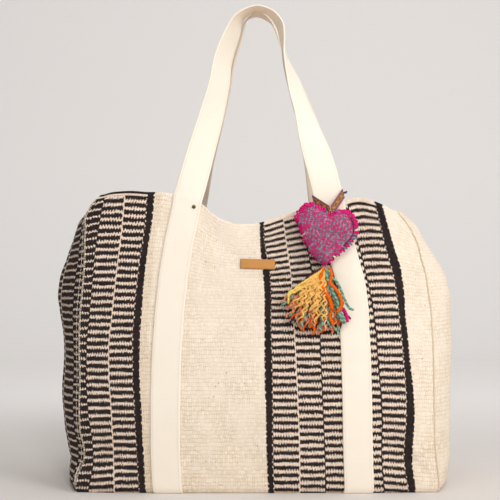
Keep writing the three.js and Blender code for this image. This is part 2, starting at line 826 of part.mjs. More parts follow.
for (const place of RIVETS) {
  const shape = rivetOnFront(place);
  add("rivet_front_" + place.leg, shape, brass);
  add("rivet_back_" + place.leg, atBack(shape), brass);
}

add("leather_label", label(), leather);

// The heart hangs by its notch below the ribbon, and the tassel from the heart's tip.
const notchPlace = onLeg(RIBBON.across, -RIBBON.drop - RIBBON.width / 2, 0);
const notch = heartPoint(heartNotch);
const heartMesh = add("charm_heart", heart(), material(COLOURS.heart));
heartMesh.rotation.x = radians(-HEART.lean);
heartMesh.position.set(notchPlace.x - notch.x, -BAG.depth, notchPlace.z - notch.z);
restOnFront(heartMesh, HEART.clear);
add("charm_ribbon", ribbon(notch.applyMatrix4(heartMesh.matrixWorld)), material(COLOURS.ribbon));

const tasselMesh = add("charm_tassel", tassel(), material(COLOURS.yarn));
tasselMesh.position.copy(heartPoint(heartTip).applyMatrix4(heartMesh.matrixWorld));
tasselMesh.position.z -= HEAD_HEIGHT + SEWN_GAP;

export default bag;
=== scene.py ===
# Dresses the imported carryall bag: woven cloth walls, webbing handles, label and heart charm.
# Metres, +Z up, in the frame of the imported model. The front faces -Y.
import math

import bpy
import numpy as np
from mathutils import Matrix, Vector


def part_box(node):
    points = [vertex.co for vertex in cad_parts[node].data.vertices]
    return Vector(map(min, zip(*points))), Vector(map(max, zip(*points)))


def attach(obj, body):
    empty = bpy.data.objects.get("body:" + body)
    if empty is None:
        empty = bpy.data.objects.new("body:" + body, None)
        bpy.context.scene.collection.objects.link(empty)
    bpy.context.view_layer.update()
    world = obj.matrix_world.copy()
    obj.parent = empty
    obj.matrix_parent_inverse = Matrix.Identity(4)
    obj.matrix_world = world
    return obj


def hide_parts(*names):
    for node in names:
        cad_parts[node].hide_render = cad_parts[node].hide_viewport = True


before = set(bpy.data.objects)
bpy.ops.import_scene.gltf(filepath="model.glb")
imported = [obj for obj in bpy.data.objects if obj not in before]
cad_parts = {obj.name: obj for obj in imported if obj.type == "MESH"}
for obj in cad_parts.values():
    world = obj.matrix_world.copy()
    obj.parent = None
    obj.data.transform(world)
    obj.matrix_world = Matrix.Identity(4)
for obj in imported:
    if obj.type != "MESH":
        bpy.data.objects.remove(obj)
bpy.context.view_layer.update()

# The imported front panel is 394.6 mm high at its rim, which gives the scale of every size here.
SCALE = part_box("front_panel")[1][2] / 0.3946
MM = 0.001 * SCALE

HALF_WIDTH = 240 * MM
HALF_DEPTH = 95 * MM
HEIGHT = 394 * MM
CLOTH = 2.5 * MM
WEBBING = 2.2 * MM
STRAP_WIDTH = 38 * MM
HANDLE_RISE = 254 * MM
BULGE_REACH = 43 * MM
FOLD_DEPTH = 4.5 * MM
FOOT_RADIUS = 10 * MM
GAP = 0.3 * MM
SEWN_GAP = 0.4 * MM
# How far each handle spreads halfway up, is pinched towards its top, and stands to the right
# halfway up, as shares of half the bag's width
HANDLES = {"front": (0.0, 0.0, 0.0), "back": (0.135, 0.2, 0.013)}

# Fine grid of the cloth
FRONT_COLUMNS = 200
GUSSET_COLUMNS = 64
LEVEL_STEPS = 170

# Weave: spacing of the bars, of the threads that run up and of those that run across
STRIPE_PITCH = 9.8 * MM
WARP = 3.1 * MM
WEFT = 5.2 * MM
BAR_EDGE = 0.19  # shares of the bars' spacing
THICK_BARS = 0.085
THIN_BARS = 0.04
TOOTH_LEAST = 0.03
TOOTH_REACH = 0.14
DARK_RIM = 2.2 * MM
LIGHT_RIM = 4.8 * MM
KNIT_LONG = 2.9 * MM
KNIT_WIDE = 2.1 * MM

# Where the webbing's stitches run, as a share of half its width, and the ribbon's pattern
STITCH_LANE = 0.86
RIBBON_PITCH = 10.5 * MM
RIBBON_WIDTH = 12 * MM


def table(sizes, rows):
    """Named columns, whose numbers are percent of the size given for each."""
    grid = np.array(rows, dtype=float) / 100
    return {name: grid[:, i] * size for i, (name, size) in enumerate(sizes.items())}


DEGREES = 100
FRONT = table(
    dict(height=HEIGHT, seamLeft=HALF_WIDTH, left=HALF_WIDTH, right=HALF_WIDTH, seamRight=HALF_WIDTH),
    [
        [0, -99.2, -48.1, 56.2, 100.4],
        [6, -97.6, -48.5, 55.8, 99.6],
        [12.5, -93.9, -49, 55.4, 98.3],
        [21.3, -96.3, -49, 55, 97.5],
        [37.8, -96.3, -48.8, 54.5, 97.1],
        [54.3, -96.7, -47.5, 53.4, 96.3],
        [67.5, -95.2, -45.6, 51.8, 94.2],
        [77.4, -94.2, -43.5, 48, 90.8],
        [87.3, -94, -40.6, 43.8, 85.4],
        [94.4, -92, -38.1, 40.9, 77],
        [100, -83.8, -36.9, 39.8, 74.2],
    ],
)
RIM = table(
    dict(across=HALF_WIDTH, height=HEIGHT),
    [
        [-84, 99],
        [-76.3, 100],
        [-59.6, 99.8],
        [-45, 99],
        [-30, 95.8],
        [-23.8, 92.5],
        [-12.9, 89.5],
        [-5, 89.1],
        [3.3, 89.7],
        [14.6, 91.9],
        [23.8, 93.6],
        [33.3, 94.9],
        [47.5, 96.3],
        [52.5, 97.7],
        [63, 97.1],
        [76.3, 93.5],
    ],
)
PROFILE = table(
    dict(height=HEIGHT, seamDepth=HALF_DEPTH, belly=HALF_DEPTH),
    [
        [0, 88.4, 6.3],
        [15.2, 90.5, 9.5],
        [38, 90.5, 10.5],
        [66, 86.3, 9.5],
        [86.3, 80, 9.5],
        [100, 73.7, 9.5],
    ],
)
BULGE = table(
    dict(height=HEIGHT, left=BULGE_REACH, right=BULGE_REACH),
    [
        [0, 30, 37],
        [2.5, 38, 45],
        [9, 57, 66],
        [13, 74, 70],
        [22, 72, 77],
        [34.3, 81, 81],
        [47.8, 70, 84],
        [59.8, 88, 88],
        [67.8, 97, 90],
        [77.8, 77, 69],
        [83.8, 58, 48],
        [89.4, 42, 48],
        [94.2, 14, 33],
        [100, 9, 28],
    ],
)
GUSSET_RIM = dict(left=0.957 * HEIGHT, right=0.93 * HEIGHT)
FOOT = table(
    dict(height=FOOT_RADIUS, inset=FOOT_RADIUS),
    [[0, 40], [40, 12], [100, 0], [200, 0]],
)
FOLDS = table(
    dict(across=HALF_WIDTH, height=HEIGHT, turn=DEGREES, length=HALF_WIDTH, width=HEIGHT, depth=FOLD_DEPTH),
    [
        [12.5, 71.3, 0, 14, 1.8, 71],
        [-85.4, 11.2, 38, 11, 2.3, 100],
        [81.7, 11.7, -35, 11, 2.5, 100],
        [59.2, 80.7, 100, 26, 3, 89],
        [-20, 83.8, -50, 17, 3.6, 56],
        [83.3, 76.1, 78, 21, 3.6, 56],
        [-66.7, 89.3, 8, 17, 3, 44],
    ],
)
HANDLE = table(
    dict(across=HALF_WIDTH, rise=1, out=1, turn=DEGREES),
    [
        [-34.4, 6.4, 90, 15],
        [-30.8, 19.5, 76, 23],
        [-24, 43.3, 51, 38],
        [-20.4, 58, 37.5, 48],
        [-18.2, 71.8, 22, 54],
        [-12.9, 86.5, 7, 60],
        [-8.5, 95.2, 1.2, 75],
        [0, 100, 0, 90],
        [8.8, 97, 1, 97],
        [13.8, 90.5, 3.7, 101],
        [15.3, 83.3, 7, 97],
        [16.5, 76.6, 12, 88],
        [20, 64.6, 27.4, 67],
        [23.3, 53, 39, 55],
        [27.1, 41.7, 52.7, 47],
        [30.8, 29, 68, 26],
        [33.8, 19.5, 78, 8],
        [36.9, 8.8, 90, 2],
    ],
)

# Lines between the woven bands of the front, from its left seam: b and c are striped columns,
# l, m and r the black bands, and the numbers the striped columns between m and r.
BAND_LINES = ["bc", "ab", "l0", "l1", "m0", "m1", "s12", "s23", "s34", "s45", "r0", "r1"]
BANDS = table(
    dict(height=HEIGHT, **{name: HALF_WIDTH for name in BAND_LINES}),
    [
        [0.8, -91.5, -77.1, -63.4, -60.1, 7, 9.6, 23.8, 37.9, 52, 69.9, 83.3, 86.9],
        [12.4, -88.8, -77.5, -64.5, -61.1, 6, 9, 23.7, 37.4, 51.5, 68.3, 80.6, 85],
        [27.2, -91.5, -78.5, -65.7, -62.3, 5.5, 9, 22.9, 36.3, 50.9, 68.3, 81.8, 86],
        [44.7, -92.5, -80, -66.8, -63.4, 4.9, 8.4, 21.6, 35.1, 49.8, 66.1, 80.2, 83.5],
        [58.6, -91, -78.4, -66.1, -62.5, 4.9, 8.1, 20.3, 33.9, 48.2, 64.2, 78, 81.3],
        [72.4, -89.1, -76.1, -64.1, -60.7, 4.1, 7.6, 19, 30.6, 43.9, 60.1, 74.9, 79.5],
        [80.7, -88, -74.6, -62.3, -59.3, 2.7, 5.1, 17.1, 28.2, 41.2, 56.9, 71.2, 75.8],
        [89.6, -85.8, -73.1, -60.4, -57.2, 2.2, 4.3, 15.2, 25.5, 38.5, 52.8, 68, 71.8],
        [98.2, -83.4, -72, -59.6, -55.8, 1.9, 4.1, 13.8, 23.3, 36.3, 49.3, 64.7, 68.3],
    ],
)
GUSSET_STRIPES = 6  # striped columns round the left end
# What is woven from each band number on. The first band of the front is 0, and the left end has
# -1, -2 and so on.
FIRST_BAND, LAST_BAND = -7, 14
BAND_KINDS = {-7: "stripes", 3: "black", 4: "cream", 5: "black", 6: "stripes", 11: "black", 12: "cream"}
WIDE_CREAM = 4  # the wide cream band in the middle, left of the middle black one
PLAIN_BAND = 12.5
CLOTH_VALUES = ("band", "across", "rise", "ink")


def read(columns, name, at, by="height"):
    """Smooth reading of one column of a table at values of another."""
    xs = columns[by]
    ys = columns[name]
    at = np.clip(np.asarray(at, dtype=float), xs[0], xs[-1])
    i = np.clip(np.searchsorted(xs, at, side="left") - 1, 0, len(xs) - 2)
    before = np.maximum(np.arange(len(xs)) - 1, 0)
    after = np.minimum(np.arange(len(xs)) + 1, len(xs) - 1)
    slopes = (ys[after] - ys[before]) / (xs[after] - xs[before])
    step = xs[i + 1] - xs[i]
    t = (at - xs[i]) / step
    start = ys[i] + t * slopes[i] * step
    end = ys[i + 1] - (1 - t) * slopes[i + 1] * step
    ease = t * t * (3 - 2 * t)
    return start + (end - start) * ease


def smooth(low, high, value):
    t = np.clip((value - low) / (high - low), 0, 1)
    return t * t * (3 - 2 * t)


def unit(vectors):
    return vectors / np.maximum(np.linalg.norm(vectors, axis=-1, keepdims=True), 1e-12)


def xyz(x, y, z):
    return np.stack(np.broadcast_arrays(x, y, z), axis=-1)


def turned(first, second, angle):
    """Places along and beside a direction that is turned by the angle."""
    cos, sin = math.cos(angle), math.sin(angle)
    return first * cos + second * sin, second * cos - first * sin


def distances(path):
    """How far along a path each of its points lies."""
    return np.concatenate([[0], np.cumsum(np.linalg.norm(np.diff(path, axis=0), axis=1))])


# The cloth

SAG_START = 0.58


def sagged(level, rim):
    share = np.clip((level / HEIGHT - SAG_START) / (1 - SAG_START), 0, 1) ** 1.2
    return level - (HEIGHT - rim) * share


def fold_depth(x, z):
    depth = 0
    for i in range(len(FOLDS["depth"])):
        fold = {name: column[i] for name, column in FOLDS.items()}
        along, beside = turned(x - fold["across"], z - fold["height"], math.radians(fold["turn"]))
        far = (along / fold["length"]) ** 2 + (beside / fold["width"]) ** 2
        depth = depth + fold["depth"] * np.exp(-far)
    return depth


def stand(x, y, z):
    inset = read(FOOT, "inset", z)
    return xyz(x * (1 - inset / HALF_WIDTH), y * (1 - inset / HALF_DEPTH), z)


LINES = [
    ("seamLeft", 0),
    ("left", -STRAP_WIDTH / 2),
    ("left", STRAP_WIDTH / 2),
    ("right", -STRAP_WIDTH / 2),
    ("right", STRAP_WIDTH / 2),
    ("seamRight", 0),
]
LEFT_LEG = 1  # the span between two of these lines that each sewn leg covers
RIGHT_LEG = 3


def front_across(span, z):
    """Place across the front: the whole part of span counts LINES, the rest lies between two."""
    places = np.stack(np.broadcast_arrays(*[read(FRONT, name, z) + beside for name, beside in LINES]))
    i = np.clip(np.floor(span).astype(int), 0, len(LINES) - 2)
    i = np.broadcast_to(i, places.shape[1:])
    low = np.take_along_axis(places, i[None], 0)[0]
    high = np.take_along_axis(places, i[None] + 1, 0)[0]
    return low + (high - low) * (span - i)


def column_rim(span):
    rim = np.full(np.shape(span), HEIGHT)
    for _ in range(4):
        rim = read(RIM, "height", front_across(span, rim), "across")
    return rim


def puckers(x, z):
    """Small soft waves of the cloth, clear of the straps and of the rim."""
    waves = np.sin(x / (17 * MM) + 3 * np.sin(z / (61 * MM))) * np.sin(z / (29 * MM) + x / (83 * MM))
    ripples = np.sin(x / (7.5 * MM) + z / (41 * MM)) * np.sin(z / (13 * MM) - x / (37 * MM))
    free = np.ones(np.shape(x))
    for leg in ("left", "right"):
        beside = np.abs(x - read(FRONT, leg, z)) - STRAP_WIDTH / 2
        free = free * smooth(1 * MM, 16 * MM, beside)
    free = free * (1 - smooth(0.92 * HEIGHT, HEIGHT, z)) * smooth(0, 20 * MM, z)
    # The cloth lies flat under the label
    beside_label = np.maximum(np.abs(x - 2 * MM) - 26 * MM, np.abs(z - 299 * MM) - 10 * MM)
    return free * smooth(0, 8 * MM, beside_label) * (0.9 * waves + 0.35 * ripples) * MM


def front_points(span, level):
    z = sagged(level, column_rim(span))
    x = front_across(span, z)
    left = read(FRONT, "seamLeft", z)
    share = (x - left) / (read(FRONT, "seamRight", z) - left)
    crown = 1 - np.abs(2 * share - 1) ** 4
    depth = read(PROFILE, "seamDepth", z) + read(PROFILE, "belly", z) * crown
    edge = smooth(0, 0.05, share) * smooth(0, 0.05, 1 - share)
    return stand(x, fold_depth(x, z) + edge * puckers(x, z) - depth, z)


def gusset_points(side, share, level):
    seam = 0 if side == "left" else len(LINES) - 1
    seam_rim = column_rim(np.array(float(seam)))
    rim = GUSSET_RIM[side] + (seam_rim - GUSSET_RIM[side]) * share**2
    z = sagged(level, rim)
    bulge = read(BULGE, side, z) * (1 - np.abs(share) ** 2.2)
    outwards = -1 if side == "left" else 1
    slack = 1 - np.abs(share) ** 2
    waves = np.sin(z / (24 * MM) + 2 * share) * np.sin(3.1 * share + z / (57 * MM)) * 0.9 * MM
    x = front_across(float(seam), z) + outwards * (bulge + slack * waves)
    return stand(x, share * read(PROFILE, "seamDepth", z), z)


def front_spans():
    """Columns of the front, spread about evenly, with a column on every line."""
    widths = np.diff(front_across(np.arange(len(LINES)) + 0.0, np.full(len(LINES), HEIGHT / 2)))
    counts = np.maximum(np.round(widths / widths.sum() * FRONT_COLUMNS).astype(int), 4)
    counts[[LEFT_LEG, RIGHT_LEG]] += counts[[LEFT_LEG, RIGHT_LEG]] % 2
    spans = [i + np.arange(count) / count for i, count in enumerate(counts)]
    return np.concatenate(spans + [[float(len(LINES) - 1)]])


def make_ring():
    """Points round the whole bag at every level, and the outward direction at each."""
    foot_levels = np.array([0, 0.12, 0.25, 0.4, 0.6, 0.8]) * FOOT_RADIUS
    levels = np.concatenate([foot_levels, np.linspace(FOOT_RADIUS, HEIGHT, LEVEL_STEPS)])[:, None]
    spans = front_spans()
    shares = -np.cos(np.pi * np.arange(1, GUSSET_COLUMNS) / GUSSET_COLUMNS)
    front = front_points(spans[None, :] + 0 * levels, levels)
    right = gusset_points("right", shares[None, :] + 0 * levels, levels)
    left = gusset_points("left", -shares[None, :] + 0 * levels, levels)
    back = front[:, ::-1] * np.array([1, -1, 1])
    outer = np.concatenate([front, right, back, left], axis=1)
    up = np.gradient(outer, axis=0)
    before = np.cross(outer - np.roll(outer, 1, axis=1), up)
    after = np.cross(np.roll(outer, -1, axis=1) - outer, up)
    before = unit(before)
    middle = unit(before + unit(after))
    middle[0, :, 2] = 0
    middle = unit(middle)
    mitre = np.maximum((middle * before).sum(-1, keepdims=True), 0.5)
    return dict(levels=levels[:, 0], spans=spans, shares=shares, outer=outer, out=middle / mitre)


RING = make_ring()
LEVEL_COUNT, AROUND = RING["outer"].shape[:2]
FRONT_LAST = len(RING["spans"]) - 1
BACK_FIRST = FRONT_LAST + GUSSET_COLUMNS
BACK_LAST = BACK_FIRST + FRONT_LAST


def band_number(points):
    """Which woven band each point of the front is in, and how far across it, as one number."""
    x, z = points[..., 0], points[..., 2]
    lines = [read(FRONT, "seamLeft", z)] + [read(BANDS, name, z) for name in BAND_LINES]
    lines.append(read(FRONT, "seamRight", z))
    number = np.zeros(x.shape)
    for i in range(len(lines) - 1):
        number += np.clip((x - lines[i]) / (lines[i + 1] - lines[i]), 0, 1)
    return number


def ring_bands():
    front = band_number(RING["outer"][:, : FRONT_LAST + 1])
    right = np.full((LEVEL_COUNT, GUSSET_COLUMNS - 1), len(BAND_LINES) + 0.9)
    turns = (1 - np.linspace(0, 1, GUSSET_COLUMNS + 1)[1:-1]) * GUSSET_STRIPES
    left = np.repeat(-turns[None, :], LEVEL_COUNT, axis=0)
    left = np.where(left < -GUSSET_STRIPES / 2, -GUSSET_STRIPES - left, left)
    return np.concatenate([front, right, front[:, ::-1], left], axis=1)


def ring_ink():
    """Distance from the nearest black band, below 0 inside one."""
    front = RING["outer"][:, : FRONT_LAST + 1]
    x, z = front[..., 0], front[..., 2]
    away = np.full(x.shape, 1.0)
    for low, high in (("l0", "l1"), ("m0", "m1"), ("r0", "r1")):
        low, high = read(BANDS, low, z), read(BANDS, high, z)
        away = np.minimum(away, np.abs(x - (low + high) / 2) - (high - low) / 2)
    end = np.full((LEVEL_COUNT, GUSSET_COLUMNS - 1), 1.0)
    return np.concatenate([away, end, away[:, ::-1], end], axis=1)


def ring_across():
    """Distance round the bag at mid height, which each column keeps all the way up."""
    row = RING["outer"][LEVEL_COUNT // 2]
    steps = np.linalg.norm(row - np.roll(row, 1, axis=0), axis=1)
    return np.repeat(np.cumsum(steps)[None, :], LEVEL_COUNT, axis=0)


def ring_rise():
    """Height along the cloth, with the lean that the stripes have near the lower corners."""
    x, z = RING["outer"][..., 0], RING["outer"][..., 2]
    low = 1 - smooth(0, 0.55 * HEIGHT, z)
    lean = 0.07 * np.minimum(x + 0.75 * HALF_WIDTH, 0) + 0.1 * np.minimum(0.7 * HALF_WIDTH - x, 0)
    return RING["levels"][:, None] - lean * low


RING.update(band=ring_bands(), across=ring_across(), rise=ring_rise(), ink=ring_ink())


# Meshes

def make_object(name, points, faces, material, values=None):
    mesh = bpy.data.meshes.new(name)
    mesh.from_pydata(np.asarray(points).reshape(-1, 3).tolist(), [], [list(map(int, f)) for f in faces])
    for key, numbers in (values or {}).items():
        layer = mesh.attributes.new(key, "FLOAT", "POINT")
        layer.data.foreach_set("value", np.asarray(numbers, dtype=np.float32).ravel())
    mesh.polygons.foreach_set("use_smooth", [True] * len(mesh.polygons))
    mesh.materials.append(material)
    mesh.update()
    made = bpy.data.objects.new(name, mesh)
    bpy.context.scene.collection.objects.link(made)
    return made


class Shape:
    """Gathers the points, faces and per-point values of one mesh."""

    def __init__(self, *keys):
        self.points = []
        self.faces = []
        self.values = {key: [] for key in keys}
        self.count = 0

    def add(self, points, faces, **values):
        points = np.asarray(points).reshape(-1, 3)
        self.points.append(points)
        self.faces.extend([[int(i) + self.count for i in face] for face in faces])
        for key, column in self.values.items():
            column.append(np.broadcast_to(np.asarray(values[key], dtype=float).ravel(), (len(points),)))
        self.count += len(points)

    def make(self, name, material, slot, *nodes):
        values = {key: np.concatenate(column) for key, column in self.values.items()}
        made = make_object(name, np.concatenate(self.points), self.faces, material, values)
        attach(made, "root")
        if nodes:
            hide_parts(*nodes)
        return made


def grid_faces(rows, columns, closed=False):
    """Faces of a grid of points. A closed grid joins its last column to its first."""
    i = np.arange(rows - 1)[:, None]
    j = np.arange(columns if closed else columns - 1)[None, :]
    after = (j + 1) % columns
    corners = [i * columns + j, i * columns + after, (i + 1) * columns + after, (i + 1) * columns + j]
    return np.stack(corners, axis=-1).reshape(-1, 4).tolist()


def tube_faces(rows, columns):
    ends = [list(range(columns))[::-1], [(rows - 1) * columns + j for j in range(columns)]]
    return grid_faces(rows, columns, closed=True) + ends


def directions(path, towards):
    """Two directions square to a path and to each other, at each of its points."""
    along = unit(np.gradient(path, axis=0))
    side = unit(np.cross(along, towards))
    return side, np.cross(side, along)


def add_tube(shape, path, radius, sides, **values):
    """A tube round a path of points. radius is one number or one for each point."""
    side, other = directions(path, np.array([0.123, 1.0, 0.077]))
    turns = 2 * np.pi * np.arange(sides) / sides
    radius = np.broadcast_to(radius, (len(path),))[:, None, None]
    ring = side[:, None] * np.cos(turns)[None, :, None] + other[:, None] * np.sin(turns)[None, :, None]
    points = path[:, None] + ring * radius
    values = {key: np.repeat(np.broadcast_to(v, (len(path),)), sides) for key, v in values.items()}
    shape.add(points, tube_faces(len(path), sides), **values)


STITCH_SIDES = 5


def add_stitches(shape, centres, along, face, length, radius):
    """Short plump stitches, one at each centre."""
    centres, along, face = (np.asarray(a).reshape(-1, 3) for a in (centres, along, face))
    along = unit(np.broadcast_to(along, centres.shape))
    side = unit(np.cross(along, face))
    rings = [centres - along * length / 2]
    for share in (-0.28, 0.28):
        for k in range(STITCH_SIDES):
            turn = 2 * math.pi * k / STITCH_SIDES
            around = side * math.cos(turn) + np.cross(side, along) * math.sin(turn)
            rings.append(centres + along * share * length + around * radius)
    rings.append(centres + along * length / 2)
    points = np.stack(rings, axis=1)
    first, second, last = 1, 1 + STITCH_SIDES, 1 + 2 * STITCH_SIDES
    faces = []
    for k in range(STITCH_SIDES):
        after = (k + 1) % STITCH_SIDES
        faces.append([0, first + after, first + k])
        faces.append([first + k, first + after, second + after, second + k])
        faces.append([last, second + k, second + after])
    starts = np.arange(len(points)) * points.shape[1]
    shape.add(points, [[start + i for i in corners] for start in starts for corners in faces])


class Route:
    """Centripetal Catmull-Rom curve through points."""

    def __init__(self, points, closed=False):
        points = np.asarray(points, dtype=float)
        if closed:
            points = np.concatenate([points[-1:], points, points[:2]])
        else:
            points = np.concatenate([[2 * points[0] - points[1]], points, [2 * points[-1] - points[-2]]])
        self.points = points
        self.spans = len(points) - 3

    def at(self, t):
        place = np.clip(np.asarray(t, dtype=float), 0, 1) * self.spans
        i = np.minimum(np.floor(place).astype(int), self.spans - 1)
        w = (place - i)[..., None]
        p0, p1, p2, p3 = (self.points[i + k] for k in range(4))
        pairs = ((p0, p1), (p1, p2), (p2, p3))
        g0, g1, g2 = (np.sqrt(np.linalg.norm(b - a, axis=-1, keepdims=True)) for a, b in pairs)
        first = ((p1 - p0) / g0 - (p2 - p0) / (g0 + g1) + (p2 - p1) / g1) * g1
        second = ((p2 - p1) / g1 - (p3 - p1) / (g1 + g2) + (p3 - p2) / g2) * g1
        cubic = 2 * p1 - 2 * p2 + first + second
        square = -3 * p1 + 3 * p2 - 2 * first - second
        return p1 + first * w + square * w**2 + cubic * w**3

    def along(self, t):
        t = np.asarray(t, dtype=float)
        step = 1e-4
        return unit(self.at(np.minimum(t + step, 1)) - self.at(np.maximum(t - step, 0)))


# Materials

def linear(red, green, blue):
    """Colour from 0 to 255, as seen on a screen, to light values."""
    def channel(value):
        value = value / 255
        return value / 12.92 if value <= 0.04045 else ((value + 0.055) / 1.055) ** 2.4

    return (channel(red), channel(green), channel(blue), 1.0)


class Value:
    """What a shader node gives out, to be counted with like a number."""

    def __init__(self, nodes, socket):
        self.nodes = nodes
        self.socket = socket

    def __add__(self, other):
        return self.nodes.math("ADD", self, other)

    def __sub__(self, other):
        return self.nodes.math("SUBTRACT", self, other)

    def __rsub__(self, other):
        return self.nodes.math("SUBTRACT", other, self)

    def __mul__(self, other):
        return self.nodes.math("MULTIPLY", self, other)

    def __truediv__(self, other):
        return self.nodes.math("DIVIDE", self, other)

    def __abs__(self):
        return self.nodes.math("ABSOLUTE", self)


class Nodes:
    """Short ways to build one material out of shader nodes."""

    def __init__(self, name):
        self.material = bpy.data.materials.new(name)
        self.material.use_nodes = True
        self.tree = self.material.node_tree
        self.tree.nodes.clear()

    def add(self, kind, inputs=None, settings=None, output=0):
        node = self.tree.nodes.new("ShaderNode" + kind)
        for key, value in (settings or {}).items():
            setattr(node, key, value)
        for key, value in (inputs or {}).items():
            if isinstance(value, Value):
                self.tree.links.new(value.socket, node.inputs[key])
            else:
                node.inputs[key].default_value = value
        return Value(self, node.outputs[output]) if len(node.outputs) else None

    def math(self, operation, *values):
        return self.add("Math", dict(enumerate(values)), {"operation": operation})

    def value(self, name):
        return self.add("Attribute", settings={"attribute_name": name}, output="Fac")

    def mix(self, share, first, second):
        return self.add("Mix", {0: share, 6: first, 7: second}, {"data_type": "RGBA"}, 2)

    def step(self, value, low, high):
        """Smooth step from 0 at low to 1 at high."""
        inputs = {"Value": value, "From Min": low, "From Max": high}
        return self.add("MapRange", inputs, {"interpolation_type": "SMOOTHSTEP"})

    def wave(self, value, length):
        """Wave from -1 to 1 along a length."""
        return self.math("SINE", value * (2 * math.pi / length))

    def noise(self, size, detail=2.0):
        place = self.add("TexCoord", output="Object")
        return self.add("TexNoise", {"Scale": 1 / size, "Detail": detail, "Vector": place})

    def cell(self, first, second):
        """A random number for each pair of whole numbers."""
        place = self.place(self.math("FLOOR", first), self.math("FLOOR", second))
        return self.add("TexWhiteNoise", {"Vector": place}, {"noise_dimensions": "2D"})

    def random(self, value):
        """A random number for each whole number."""
        return self.add("TexWhiteNoise", {"W": self.math("FLOOR", value)}, {"noise_dimensions": "1D"})

    def place(self, first, second):
        return self.add("CombineXYZ", {0: first, 1: second})

    def ramp(self, value, stops):
        """Flat colours, each from its own stop on."""
        node = self.tree.nodes.new("ShaderNodeValToRGB")
        node.color_ramp.interpolation = "CONSTANT"
        elements = node.color_ramp.elements
        while len(elements) < len(stops):
            elements.new(1.0)
        for element, (position, colour) in zip(elements, stops):
            element.position = position
            element.color = colour
        self.tree.links.new(value.socket, node.inputs[0])
        return Value(self, node.outputs[0])

    def finish(self, colour, bump=None, depth=0.3 * MM, strength=0.6, **shader):
        inputs = {"Base Color": colour, "Roughness": 0.9}
        inputs.update({key.replace("_", " "): value for key, value in shader.items()})
        if bump is not None:
            inputs["Normal"] = self.add("Bump", {"Strength": strength, "Distance": depth, "Height": bump})
        shader_out = self.add("BsdfPrincipled", inputs)
        self.add("OutputMaterial", {"Surface": shader_out})
        return self.material


CLOTH_CREAM = linear(240, 226, 209)
# CLOTH_SHADE and STRIPE_SHADE are painted shade, mixed in where the weave's gaps are, together with random
# darker threads
CLOTH_SHADE = linear(198, 175, 139)
STRIPE_CREAM = linear(236, 216, 198)
STRIPE_SHADE = linear(180, 154, 134)
INK = linear(35, 28, 28)
INK_WORN = linear(62, 50, 47)
FLECK = linear(124, 100, 84)


def weave_grain(n, across, rise, loose, drift):
    """Threads of the weave, with each row shifted against the next, and the gaps between them, which the
    colours darken as painted shade.
    """
    rows = rise / WEFT + (drift + loose * 0.5)
    slip = n.random(rows)
    columns = across / WARP + (slip + drift)
    thread = n.cell(columns, rows)
    ridge = abs(n.wave(columns, 2.0))
    row = abs(n.wave(rows, 2.0))
    ridge_gap = n.step(ridge, 0.6, 0.05)
    row_gap = n.step(row, 0.5, 0.05)
    faint = (ridge_gap + row_gap) * 0.3
    return thread, faint + ridge_gap * row_gap * 0.6


def striped_bands(n, index):
    """1 in the bands that have bars or are black, and 0 in the cream ones."""
    masks = {"stripes": (1, 1, 1, 1), "black": (1, 1, 1, 1), "cream": (0, 0, 0, 1)}
    reach = LAST_BAND - FIRST_BAND
    stops = [((start - FIRST_BAND) / reach, masks[kind]) for start, kind in BAND_KINDS.items()]
    share = n.add("MapRange", {"Value": index + 0.5, "From Min": FIRST_BAND, "From Max": LAST_BAND})
    return n.ramp(share, stops)


def woven_bars(n, band, index, across, rise, loose, drift):
    """Bars with toothed edges, half a bar higher in every other column."""
    ragged = loose * 0.12 + drift * 0.28
    phase = rise / STRIPE_PITCH + index * 0.5 + ragged
    edge = phase * 2.0 + index * 31.0
    places = across / (1.1 * WARP) + n.random(edge)
    tooth = n.wave(places, 1.0)
    reach = n.cell(places, edge) * TOOTH_REACH + TOOTH_LEAST
    fat = tooth * reach
    # Bars are thicker at the left end and thinner on the right of the front
    thick = n.step(band, 1.01, 0.99) * THICK_BARS
    thin = n.step(band, WIDE_CREAM + 0.9, WIDE_CREAM + 1.1) * THIN_BARS
    swell = fat + thick - thin
    return n.step(n.math("PINGPONG", phase, 0.5) + swell, BAR_EDGE - 0.025, BAR_EDGE + 0.025)


def column_lines(n, bar, band, ink, loose):
    """The bars with a thin line between neighbouring columns, light and dark in turn."""
    side = n.math("ROUND", band)
    off = abs(band - side)
    line = n.step(off - loose * 0.04, 0.03, 0.012) * n.step(ink, 0.5 * MM, 1.5 * MM)
    flip = n.math("GREATER_THAN", band, WIDE_CREAM + 1)
    return n.mix(line, bar, n.math("PINGPONG", side + flip, 1.0))


def folded_rim(n, bar, band, rise):
    """The bars with a light line below the rim and, up to the middle, a dark edge on it."""
    soft = 0.4 * MM
    below_rim = HEIGHT - rise
    dark_rim = n.step(below_rim, DARK_RIM + soft, DARK_RIM - soft)
    dark_rim = dark_rim * n.step(band, WIDE_CREAM + 1.1, WIDE_CREAM + 0.9)
    return n.mix(n.step(below_rim, LIGHT_RIM + soft, LIGHT_RIM - soft), bar, dark_rim)


